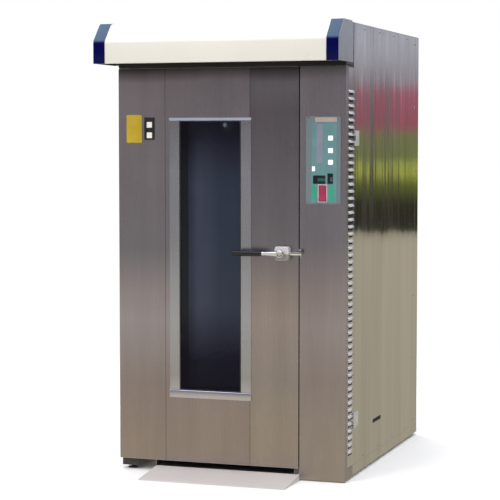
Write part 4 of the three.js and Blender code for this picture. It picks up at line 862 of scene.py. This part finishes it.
class OVEN_OT_hood(bpy.types.Operator):
    """Models the hood: a bent cream face, two wrapped blue caps and steel cheeks"""
    bl_idname = "oven.hood"
    bl_label = "Hood"

    def execute(self, context):
        sizes = oven_sizes()
        front, base, top, back = HOOD_LOW.y, HOOD_LOW.z, HOOD_HIGH.z, DOOR_FRONT - 0.0005
        # the break and the top corner of the solid's own outline
        outline = [vertex.co for vertex in frame["nodes"]["hood_shell"].data.vertices]
        break_z = max(place.z for place in outline if place.y < front + 0.001)
        top_y = min(place.y for place in outline if place.z > top - 0.001)
        left, right = HOOD_LOW.x + 0.0006, HOOD_HIGH.x - 0.0006

        def bent_sheet(name, x0, x1, out, thickness, lip, edge):
            """A sheet bent along the outline, out from it by a distance, with its wall going inwards."""
            points = [(x0, front - out + lip, base), (x0, front - out, base), (x0, front - out, break_z + out * 0.4),
                      (x0, top_y - out * 0.5, top + out), (x0, back, top + out)]
            sheet = draw_line(name, points)
            round_corner(sheet, points[2], sizes.hood_bend, 5)
            round_corner(sheet, points[3], sizes.hood_bend, 5)
            round_corner(sheet, points[1], 0.004, 3)
            pull(sheet, (x1 - x0, 0, 0))
            foremost = min(sheet.data.polygons, key=lambda face: face.center.y)
            modify(sheet, "SOLIDIFY", thickness=thickness, offset=1.0 if foremost.normal.y > 0 else -1.0)
            return smooth(round_edges(sheet, edge), 30)

        face = bent_sheet("hood_face", left, right, 0.0, sizes.hood_sheet, 0.014, 0.0006)
        dress(face, "oven", "white", "white_paint", "hood_shell")
        # painted shade: the hood sheet's inner and under faces are black
        shade_faces_black(face, lambda f: f.normal.y > 0.3 or (f.normal.z < -0.1 and f.calc_center_median().z > base + 0.01))
        thick = sizes.cap_sheet
        for side, x0, x1 in (("left", -CAP_HIGH.x, -CAP_LOW.x), ("right", CAP_LOW.x, CAP_HIGH.x)):
            cap = bent_sheet(f"hood_end_cap_{side}", x0 + 0.0002, x1 - 0.0002, thick - 0.0002, thick - 0.0004, 0.004,
                             0.0008)
            dress(cap, "oven", "blue", "blue_plastic", f"hood_cap_{side}")
        # steel cheeks that close the ends and run back along the cabinet's sides
        wall, fold_width, far, low, high = 0.003, 0.026, HOOD_HIGH.y, base + 0.0005, top - 0.0035
        for side, x, inner in (("left", left, 1), ("right", right - wall, -1)):
            cheek = draw_line(f"hood_cheek_{side}", [
                (x, front + wall, low), (x, far, low), (x, far, high), (x, top_y + 0.001, high),
                (x, front + wall, break_z - 0.001)], closed=True)
            pull(cheek, (wall, 0, 0))
            start, end = sorted((x, x + inner * fold_width))
            fold = new_block("hood_fold", (start, far - wall, low), (end + wall, far, high))
            cheek = join_pieces(f"hood_cheek_{side}", [cheek, fold])
            round_edges(cheek, 0.0005, 1)
            dress(cheek, "oven", "cheek", "brushed_steel")
            # painted shade: the cheek's inner face is black
            shade_faces_black(cheek, lambda f: f.normal.x * inner > 0.5)
        return {"FINISHED"}


class OVEN_OT_window(bpy.types.Operator):
    """Models the window's frame from four butt-jointed bars, its sleeve through the door, black as painted shade, and
    its seal
    """
    bl_idname = "oven.window"
    bl_label = "Window Frame"

    def execute(self, context):
        gap, clear = oven_sizes().trim_gap, 0.0003
        x0, x1, z0, z1 = TRIM_LOW.x, TRIM_HIGH.x, TRIM_LOW.z, TRIM_HIGH.z
        a0, a1, b0, b1 = OUTER_LOW.x - clear, OUTER_HIGH.x + clear, OUTER_LOW.z - clear, OUTER_HIGH.z + clear
        front, seat, back = TRIM_LOW.y, DOOR_FRONT - clear, TRIM_HIGH.y
        upright = [new_block("bar", (start, front, b0 + gap), (end, seat, b1 - gap))
                   for start, end in ((x0, a0), (a1, x1))]
        bottom = new_block("bar", (x0, front, z0), (x1, seat, b0))
        for bar, length in ((upright[0], 2), (upright[1], 2), (bottom, 0)):
            round_edges(bar, 0.0045, 5, lambda e: front_of(front + 0.001)(e) and along(e, length))
        # the top bar leans back, so that it catches the light from above
        top = new_block("bar", (x0, front, b1), (x1, seat, z1))
        pick(top, "VERT", lambda v: v.co.z > z1 - HAIR and v.co.y < front + HAIR)
        bpy.ops.transform.translate(value=(0, (seat - front) * 0.85, 0))
        window = smooth(join_pieces("window_frame", [*upright, bottom, done(top)]), 30)
        dress(window, "door", "trim", "brushed_steel", "window_trim")
        wall = 0.002
        sleeve = new_block("window_sleeve", (a0 - wall, seat - 0.001, b0 - wall), (a1 + wall, back, b1 + wall))
        cut_away(sleeve, new_block("cutter", (a0, front - PAST, b0), (a1, back + PAST, b1)))
        # painted shade: the sleeve is black, for the shade in the window's recess
        dress(sleeve, "door", "painted_shade_black", "dark_steel")
        # black glazing seal in front of the outer glass
        inset, inner = 0.0004, 0.005
        seal = new_block("glazing_seal", (a0 + inset, OUTER_LOW.y - 0.004, b0 + inset),
                         (a1 - inset, OUTER_LOW.y - 0.0002, b1 - inset))
        cut_away(seal, new_block("cutter", (a0 + inner, front - PAST, b0 + inner), (a1 - inner, back, b1 - inner)))
        dress(round_edges(seal, 0.0012), "door", "rubber", "seal_rubber")
        return {"FINISHED"}


class OVEN_OT_latch(bpy.types.Operator):
    """Models the door handle: black grip, chrome neck and tongue, rounded housing and the keeper"""
    bl_idname = "oven.latch"
    bl_label = "Door Handle"

    def execute(self, context):
        sizes = oven_sizes()
        sides, (x, y, z) = sizes.grip_sides, LEVER_AXIS
        low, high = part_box("lever_grip")
        radius, end = (high.z - low.z) / 2, high.x
        grip = spin_round("handle_grip", [(radius * share, low.x + step) for share, step in (
            (0, 0), (0.42, 0), (0.72, 0.0015), (0.92, 0.005), (0.995, 0.013), (1, 0.045))]
            + [(radius * share, end - step) for share, step in (
                (0.97, 0.05), (0.9, 0.02), (0.78, 0.006), (0.68, 0.001), (0.6, 0), (0, 0))], (0, y, z), "X", sides)
        dress(grip, "lever", "black", "black_plastic", "lever_grip")

        arm_low, arm_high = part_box("lever_arm")
        housing_low, housing_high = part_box("latch_housing")
        neck = spin_round("lever_neck", [
            (0, end + 0.0002), (0.009, end + 0.0002), (0.0102, end + 0.0015), (0.0102, end + 0.008),
            (0.0088, end + 0.010), (0.0092, end + 0.02), (0.0112, end + 0.04), (0.0136, x - 0.02),
            (0.0143, x - 0.012), (0, x - 0.012)], (0, y, z), "X", sides)
        hub = spin_round("lever_hub", [(r, arm_low.y + step) for r, step in (
            (0, 0), (0.006, 0), (0.0068, 0.0022), (0.0085, 0.0026), (0.0155, 0.0004), (0.018, 0.0016),
            (0.0198, 0.005))]
            + [(r, housing_low.y - step) for r, step in (
                (0.02, 0.0045), (0.017, 0.002), (0.013, 0.0006), (0, 0.0006))], (x, 0, z), "Y", sides)
        spindle = new_cylinder("spindle", 0.0068, 0.036, (x, housing_low.y + 0.0145, z), "Y")
        tongue_front, tongue_back = DOOR_FRONT - 0.017, DOOR_FRONT - 0.009
        tongue = new_plate("tongue", (x - 0.008, tongue_front, z - 0.008), (arm_high.x, tongue_back, z + 0.008),
                           0.0075, 5)
        round_edges(tongue, 0.0012, 2, lambda e: not depthwise(e))
        arm = smooth(join_pieces("lever_and_tongue", [neck, hub, spindle, tongue]))
        dress(arm, "lever", "chrome", "bright_metal", "lever_arm")

        housing = new_plate("latch_case", housing_low, housing_high, sizes.housing_corner, 6)
        round_edges(housing, 0.0045, 4, front_of(housing_low.y + HAIR))
        cut_away(housing, new_block("cutter", (x - 0.0135, tongue_front - 0.001, housing_low.z - PAST),
                                    (housing_high.x + PAST, tongue_back + 0.001, housing_high.z + PAST)))
        dress(smooth(housing), "door", "latch", "bright_metal", "latch_housing")

        keep_low, keep_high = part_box("latch_keeper")
        seat, out, top = DOOR_FRONT - 0.0024, keep_low.y + 0.002, z + 0.0205
        hook = draw_line("keeper", [(keep_low.x, seat, z - 0.0195), (keep_low.x, seat, top), (keep_low.x, out, top),
                                    (keep_low.x, out, z - 0.001)])
        round_corner(hook, (keep_low.x, seat, top), 0.003)
        round_corner(hook, (keep_low.x, out, top), 0.004)
        pull(hook, (keep_high.x - keep_low.x, 0, 0))
        modify(hook, "SOLIDIFY", thickness=0.0036, offset=0)
        smooth(round_edges(hook, 0.0007))
        screw = ((keep_low.x + keep_high.x) / 2, DOOR_FRONT - 0.0042, z - 0.0145)
        hook = join_pieces("keeper_hook", [hook, screw_heads("keeper_screws", [screw], "-Y", 0.0034, 0.0014)])
        dress(hook, "oven", "front", "bright_metal", "latch_keeper")
        return {"FINISHED"}


class OVEN_OT_plates(bpy.types.Operator):
    """Models the bare yellow plate and the black plate with two pale fields on the door"""
    bl_idname = "oven.plates"
    bl_label = "Door Plates"

    def execute(self, context):
        seat = DOOR_FRONT - 0.0002
        for name, x0, x1, z0, z1, back, thick, corner, look, slot in (
                ("yellow_plate", -0.5567, -0.473, 1.6765, 1.8175, seat, 0.0016, 0.004, "yellow", None),
                ("black_plate", -0.4595, -0.4033, 1.6905, 1.805, seat, 0.002, 0.004, "plate_black", "black_plastic"),
                ("pale_field_1", -0.4452, -0.417, 1.753, 1.7816, seat - 0.002, 0.0014, 0.002, "off_white",
                 "white_plastic"),
                ("pale_field_2", -0.4452, -0.417, 1.7004, 1.729, seat - 0.002, 0.0014, 0.002, "off_white",
                 "white_plastic")):
            plate = new_plate(name, (x0, back - thick, z0), (x1, back, z1), corner)
            round_edges(plate, thick * 0.4, 2, front_of(back - thick + HAIR))
            dress(smooth(plate), "door", look, slot)
        return {"FINISHED"}


class OVEN_OT_controls(bpy.types.Operator):
    """Models the keypad, its windows, the three white buttons, whose glow is a painted highlight, and the main switch
    """
    bl_idname = "oven.controls"
    bl_label = "Controls"

    def execute(self, context):
        y = PLATE_LOW.y
        buttons = [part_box(f"push_button_{n}") for n in (1, 2, 3)]
        film = new_plate("keypad_film", (0.427, y - 0.0006, 1.3845), (0.5545, y - 0.0001, 1.777), 0.004, 3)
        cut_away(film, *(hole(low, high, 0.0006, 0.0006) for low, high in buttons),
                 hole(SWITCH_LOW, SWITCH_HIGH, 0.0012, 0.002))
        dress(film, "oven", "teal", None)

        white, glass = "white_plastic", "dark_glass"
        for name, x0, x1, z0, z1, look, slot, thick, corner in (
                ("top_strip", 0.444, 0.556, 1.7785, 1.8015, "pale_strip", white, 0.0008, 0.002),
                ("middle_strip", 0.4525, 0.484, 1.578, 1.769, "grey_strip", white, 0.0005, 0.002),
                ("display_wide", 0.4347, 0.4974, 1.4765, 1.5174, "display", glass, 0.0014, 0.002),
                ("display_narrow", 0.5087, 0.5365, 1.4765, 1.5274, "display", glass, 0.0014, 0.002),
                ("display_window", 0.458, 0.4955, 1.4885, 1.504, "display_green", glass, 0.0017, 0.001),
                ("display_panel", 0.522, 0.535, 1.488, 1.5095, "display_grey", glass, 0.0017, 0.001),
                ("small_lamp", 0.4294, 0.4447, 1.538, 1.5616, "white_painted_glow", white, 0.0016, 0.002),
                ("green_field_left", 0.4298, 0.4501, 1.3967, 1.4656, "green", None, 0.0005, 0.002),
                ("green_field_right", 0.5185, 0.5393, 1.3928, 1.4664, "green", None, 0.0005, 0.002)):
            field = new_plate(name, (x0, y - 0.0006 - thick, z0), (x1, y - 0.0005, z1), corner, 3)
            dress(round_edges(field, thick * 0.4, 1, front_of(y - thick)), "oven", look, slot)

        for n, (low, high) in enumerate(buttons, 1):
            cap = new_plate(f"lit_button_{n}", low, high, 0.003)
            pick(cap, "FACE", lambda f: f.normal.y < -0.9)
            bpy.ops.mesh.inset(thickness=0.0035, depth=0)
            bpy.ops.transform.translate(value=(0, 0.0009, 0))
            round_edges(done(cap), 0.0009, 3, front_of(low.y + 0.0002))
            dress(smooth(cap), f"button_{n}", "white_painted_glow", white, f"push_button_{n}")

        # the rocker keeps the solid's outline, with its edges rounded
        rocker = duplicate(frame["nodes"]["main_switch"])
        rocker.parent = None
        for key in list(rocker.keys()):
            del rocker[key]
        rocker.name = rocker.data.name = "rocker"
        edit(rocker)
        bpy.ops.mesh.remove_doubles(threshold=1e-6)
        bpy.ops.mesh.dissolve_limited(angle_limit=math.radians(1))
        round_edges(done(rocker), 0.0016, 3, front_of(y + 0.002))
        dress(smooth(rocker), "switch", "red", "red_plastic", "main_switch")
        bezel = new_plate("switch_bezel", (SWITCH_LOW.x - 0.0052, y - 0.0032, SWITCH_LOW.z - 0.0062),
                          (SWITCH_HIGH.x + 0.0052, y - 0.0007, SWITCH_HIGH.z + 0.0062), 0.004)
        cut_away(bezel, hole(SWITCH_LOW, SWITCH_HIGH, 0.0009, 0.0018))
        dress(smooth(round_edges(bezel, 0.0009, 2, front_of(y - 0.003))), "oven", "bezel", white)
        return {"FINISHED"}


class OVEN_OT_louvres(bpy.types.Operator):
    """Models rounded hoods over the service cover's pressed louvres, with a black block under each as painted shadow
    """
    bl_idname = "oven.louvres"
    bl_label = "Louvres"

    def execute(self, context):
        x = SIDE_HIGH.x
        pitch, lowest, highest = 0.035, 0.136, 1.925
        steps = [i * pitch for i in range(int((highest - lowest) / pitch) + 1)]
        half, rise, out, opening_half = 0.0385, 0.0158, 0.0088, 0.034
        centre_y = (COVER_FRONT + SIDE_LOW.y - 0.003) / 2
        hood = draw_line("louvre_hood", [
            (x - 0.0005, centre_y, rise), (x + out * 0.45, centre_y, rise * 0.78),
            (x + out * 0.85, centre_y, rise * 0.42), (x + out, centre_y, 0.0008)])
        pull(hood, (0, half, 0))
        pick(hood, "EDGE", lambda e: abs(middle(e).y - centre_y - half) < 1e-5)
        for step, share in ((0.003, 0.55), (0.001, 0)):
            bpy.ops.mesh.extrude_region_move(TRANSFORM_OT_translate={"value": (0, step, 0)})
            bpy.ops.transform.resize(value=(share, 1, 1), center_override=(x, centre_y, 0))
        done(hood)
        other = duplicate(hood, Matrix.Translation((0, 2 * centre_y, 0)) @ Matrix.Diagonal((1, -1, 1, 1)))
        hood = knit(join_pieces("louvre_hood", [hood, other]), 60)
        # painted shadow: a black block under each hood, where its opening is in shade
        opening = new_block("louvre_opening", (x - 0.0004, centre_y - opening_half, lowest - 0.0105),
                            (x + 0.0005, centre_y + opening_half, lowest + 0.0004))
        dress(copy_to("louvre_openings", opening, [(0, 0, step) for step in steps]), "cover", "painted_shade_black", "dark_steel")
        hoods = copy_to("louvre_hoods", hood, [(0, 0, lowest + step) for step in steps])
        dress(hoods, "cover", "louvre", "brushed_steel")
        return {"FINISHED"}


class OVEN_OT_wheels(bpy.types.Operator):
    """Models the rack's caster wheels with their hubs"""
    bl_idname = "oven.wheels"
    bl_label = "Caster Wheels"

    def execute(self, context):
        for place in ("front_left", "front_right", "rear_left", "rear_right"):
            low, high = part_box(f"caster_wheel_{place}")
            radius, half = (high.z - low.z) / 2, (high.x - low.x) / 2
            profile = both_ends(-half, half, (0.0066, 0), (0.016, 0), (0.018, 0.0012), (0.02, 0.005),
                                (radius * 0.74, 0.006), (radius * 0.8, 0.0015), (radius * 0.9, 0.001),
                                (radius * 0.97, 0.004), (radius, 0.009))
            wheel = spin_round(f"wheel_tyre_{place}", profile, (low + high) / 2, "X", 40)
            dress(wheel, f"wheel_{place}", "wheel", "wheel_rubber", f"caster_wheel_{place}")
        return {"FINISHED"}


class OVEN_OT_lamp(bpy.types.Operator):
    """Models the chamber lamp: a glass dome in a steel ring"""
    bl_idname = "oven.lamp"
    bl_label = "Chamber Lamp"

    def execute(self, context):
        front, back = LAMP_LOW.y, LAMP_HIGH.y
        centre = ((LAMP_LOW.x + LAMP_HIGH.x) / 2, 0, (LAMP_LOW.z + LAMP_HIGH.z) / 2)
        dome = spin_round("lamp_dome", [
            (0, front), (0.01, front + 0.0006), (0.02, front + 0.003), (0.028, front + 0.008), (0.0335, front + 0.016),
            (0.0355, front + 0.026), (0.036, back - 0.008), (0, back - 0.008)], centre, "Y", 40)
        dress(dome, "oven", "lamp", "lamp_glass", "chamber_lamp")
        ring = spin_round("lamp_ring", [(r, back - step) for r, step in (
            (0.0365, 0.014), (0.040, 0.0145), (0.0425, 0.012), (0.0435, 0.008), (0.0478, 0.007), (0.048, 0.0002),
            (0.0365, 0.0002), (0.0365, 0.014))], centre, "Y", 40)
        dress(ring, "oven", "chrome", "bright_metal")
        return {"FINISHED"}


class OVEN_OT_hinges(bpy.types.Operator):
    """Models the hinges: rounded leaves with screws, knuckles and a pin with domed ends"""
    bl_idname = "oven.hinges"
    bl_label = "Hinges"

    def execute(self, context):
        for what, side, look, head in (("door", -1, "trim", 0.0055), ("cover", 1, "hinge", 0.0042)):
            for place in ("lower", "upper"):
                self.hinge(what, place, JOINTS[f"{what}_swing"], side, look, head)
        return {"FINISHED"}

    def hinge(self, what, place, pin, side, look, head):
        """One hinge. Side is the sign of its x, and head the radius of its screws."""
        node = f"{what}_hinge_{place}"
        low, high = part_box(node)
        z0, z1 = low.z + 0.002, high.z - 0.002
        mid, third = (z0 + z1) / 2, (z1 - z0) / 3
        radius = max(abs(low.x), abs(high.x)) - abs(pin.x)
        seat, face = side * (SIDE_HIGH.x + 0.0004), side * (SIDE_HIGH.x + 0.0028)
        centre = (pin.x, pin.y, 0)
        chamfer = 0.0007

        def block(name, x0, x1, y0, y1, bottom, top):
            return new_block(name, (min(x0, x1), y0, bottom), (max(x0, x1), y1, top))

        leaf = block("leaf", seat, face, pin.y + radius + 0.001, high.y, z0, z1)
        round_edges(leaf, 0.006, 4, lambda e: along(e, 0) and middle(e).y > high.y - 0.001)
        round_edges(leaf, 0.0007, 2, lambda e: abs(middle(e).x - face) < HAIR)
        parts = [leaf]
        for bottom, top in ((z0, z0 + third - 0.0004), (z1 - third + 0.0004, z1)):
            profile = both_ends(bottom, top, (radius * 0.52, 0), (radius - chamfer, 0),
                                (radius - chamfer * 0.3, chamfer * 0.3), (radius, chamfer))
            parts.append(spin_round("knuckle", profile, centre, steps=28))
            parts.append(block("web", seat, pin.x, pin.y + radius * 0.5, pin.y + radius + 0.0015, bottom, top))
        for tip, root in ((z0 - 0.0018, z0 + 0.001), (z1 + 0.0018, z1 - 0.001)):
            step = (root - tip) * 0.3
            parts.append(spin_round("pin_end", [
                (0, tip), (radius * 0.36, tip + step * 0.4), (radius * 0.48, tip + step), (radius * 0.5, root),
                (0, root)], centre, steps=24))
        parts.append(new_cylinder("pin", radius * 0.47, third * 2.2, (pin.x, pin.y, mid)))
        near = pin.y + radius
        screws = [(face, near + (high.y - near) * share, mid + way * third)
                  for share in (0.3, 0.78) for way in (-1, 1)]
        parts.append(screw_heads("leaf_screws", screws, "+X" if side > 0 else "-X", head, 0.0011))
        dress(smooth(join_pieces(f"hinge_{what}_{place}", parts)), "oven", look, "galvanised", node)
        if what == "door":
            # the door's own sleeve between the knuckles, only where it stands clear of the cabinet
            bottom, top = mid - third / 2 + 0.0002, mid + third / 2 - 0.0002
            inner, outer = radius - 0.0012, radius + 0.0003
            profile = both_ends(bottom, top, (inner, 0), (outer - 0.0004, 0), (outer, 0.0005))
            sleeve = spin_round(f"hinge_sleeve_door_{place}", profile, centre, steps=28)
            keep = block("keep", side * (SIDE_HIGH.x + 0.0062), side * (SIDE_HIGH.x + 0.03), pin.y - 0.02,
                         pin.y + 0.02, bottom - PAST, top + PAST)
            cut_away(sleeve, keep, how="INTERSECT")
            dress(smooth(sleeve), "door", look, "brushed_steel")


class OVEN_OT_gasket(bpy.types.Operator):
    """Models the door's seal: a rounded double lip on three sides of the doorway"""
    bl_idname = "oven.gasket"
    bl_label = "Door Seal"

    def execute(self, context):
        low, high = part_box("door_gasket")
        rings = []
        for inset, width, y0, y1 in ((0.0, 0.016, low.y, low.y + 0.003), (0.001, 0.0062, low.y + 0.0025, high.y),
                                     (0.0088, 0.0062, low.y + 0.0025, high.y)):
            ring = new_block("ring", (low.x + inset, y0, low.z), (high.x - inset, y1, high.z - inset))
            cut_away(ring, new_block("cutter", (low.x + inset + width, y0 - PAST, low.z - 0.05),
                                     (high.x - inset - width, y1 + PAST, high.z - inset - width)))
            if inset:
                round_edges(ring, 0.0026, 4, lambda e: middle(e).y > y1 - HAIR and not depthwise(e))
            rings.append(ring)
        dress(smooth(join_pieces("door_seal", rings), 40), "door", "rubber", "seal_rubber", "door_gasket")
        return {"FINISHED"}


class OVEN_OT_skirts(bpy.types.Operator):
    """Folds a return under the side and rear panels, backs the right panel's slot and seals the header"""
    bl_idname = "oven.skirts"
    bl_label = "Panel Returns"

    def execute(self, context):
        low, high = 0.014, SIDE_LOW.z - 0.0002
        x, wall, y0, y1 = SIDE_HIGH.x, 0.0021, SIDE_LOW.y + 0.001, REAR - 0.0005
        for side, start, end in (("right", (x - wall, y0), (x, y1)), ("left", (-x, y0), (wall - x, y1)),
                                 ("rear", (0.0022 - x, REAR - wall), (x - 0.0022, REAR))):
            strip = new_block(f"panel_return_{side}", (*start, low), (*end, high))
            dress(round_edges(strip, 0.0008), "oven", "side", "brushed_steel")
        # a black plate behind the slot in the right panel, as painted shade for its dark inside
        backing = new_block("slot_backing", (0.59815, -0.1005, 0.2165), (0.5988, 0.0665, 0.2355))
        dress(backing, "oven", "painted_shade_black", "dark_steel")
        # a black rubber seal along the header's lower edge, which also stands in for the shade under the hood
        seal = new_block("header_seal", (-0.5985, HEADER_LOW.y + 0.003, HEADER_LOW.z - 0.0055),
                         (0.5985, HEADER_LOW.y + 0.011, HEADER_LOW.z + 0.0005))
        dress(seal, "oven", "rubber", "seal_rubber")
        return {"FINISHED"}


class OVEN_OT_screws(bpy.types.Operator):
    """Sets the screws of the side panels and the control plate"""
    bl_idname = "oven.screws"
    bl_label = "Screws"

    def execute(self, context):
        sizes = oven_sizes()

        def row(x, start, end, count):
            return [Vector((x, *start)).lerp(Vector((x, *end)), i / (count - 1)) for i in range(count)]

        y0, y1, z0, z1 = SIDE_LOW.y + 0.2, SIDE_HIGH.y, SIDE_LOW.z + 0.04, SIDE_HIGH.z - 0.04
        for side, x, facing in (("right", SIDE_HIGH.x, "+X"), ("left", -SIDE_HIGH.x, "-X")):
            places = row(x, (y1 - 0.016, z0), (y1 - 0.016, z1), 7)
            for z in (z1 + 0.02, z0 - 0.02):
                places += row(x, (y0, z), (y1 - 0.2, z), 4)
            heads = screw_heads(f"side_screws_{side}", places, facing, sizes.screw_head, sizes.screw_rise)
            dress(heads, "oven", "screw", "galvanised")
        corners = [(x, PLATE_LOW.y, z) for x in (PLATE_LOW.x + 0.012, PLATE_HIGH.x - 0.012)
                   for z in (PLATE_LOW.z + 0.009, PLATE_HIGH.z - 0.009)]
        dress(screw_heads("plate_screws", corners, "-Y", 0.0042, 0.0018), "oven", "screw", "galvanised")
        return {"FINISHED"}


class OVEN_PT_panel(bpy.types.Panel):
    """Lists the oven's settings and steps"""
    bl_label = "Rack Oven"
    bl_idname = "OVEN_PT_panel"
    bl_space_type = "VIEW_3D"
    bl_region_type = "UI"
    bl_category = "Rack Oven"

    def draw(self, context):
        column = self.layout.column()
        for group in (context.scene.oven_sizes, context.scene.oven_colours):
            for name in group.bl_rna.properties.keys():
                if name not in ("name", "rna_type"):
                    column.prop(group, name)
        for step in STEPS:
            column.operator(step.bl_idname)


STEPS = (
    OVEN_OT_studio,
    OVEN_OT_finishes,
    OVEN_OT_hood,
    OVEN_OT_window,
    OVEN_OT_latch,
    OVEN_OT_plates,
    OVEN_OT_controls,
    OVEN_OT_louvres,
    OVEN_OT_wheels,
    OVEN_OT_lamp,
    OVEN_OT_hinges,
    OVEN_OT_gasket,
    OVEN_OT_skirts,
    OVEN_OT_screws,
)
CLASSES = (OvenSizes, OvenColours, *STEPS, OVEN_PT_panel)


def register():
    for made in CLASSES:
        bpy.utils.register_class(made)
    bpy.types.Scene.oven_sizes = PointerProperty(type=OvenSizes)
    bpy.types.Scene.oven_colours = PointerProperty(type=OvenColours)


def unregister():
    del bpy.types.Scene.oven_sizes
    del bpy.types.Scene.oven_colours
    for made in reversed(CLASSES):
        bpy.utils.unregister_class(made)


def main():
    register()
    for step in STEPS:
        group, name = step.bl_idname.split(".")
        getattr(getattr(bpy.ops, group), name)()
    start_clean()


if __name__ == "__main__":
    main()
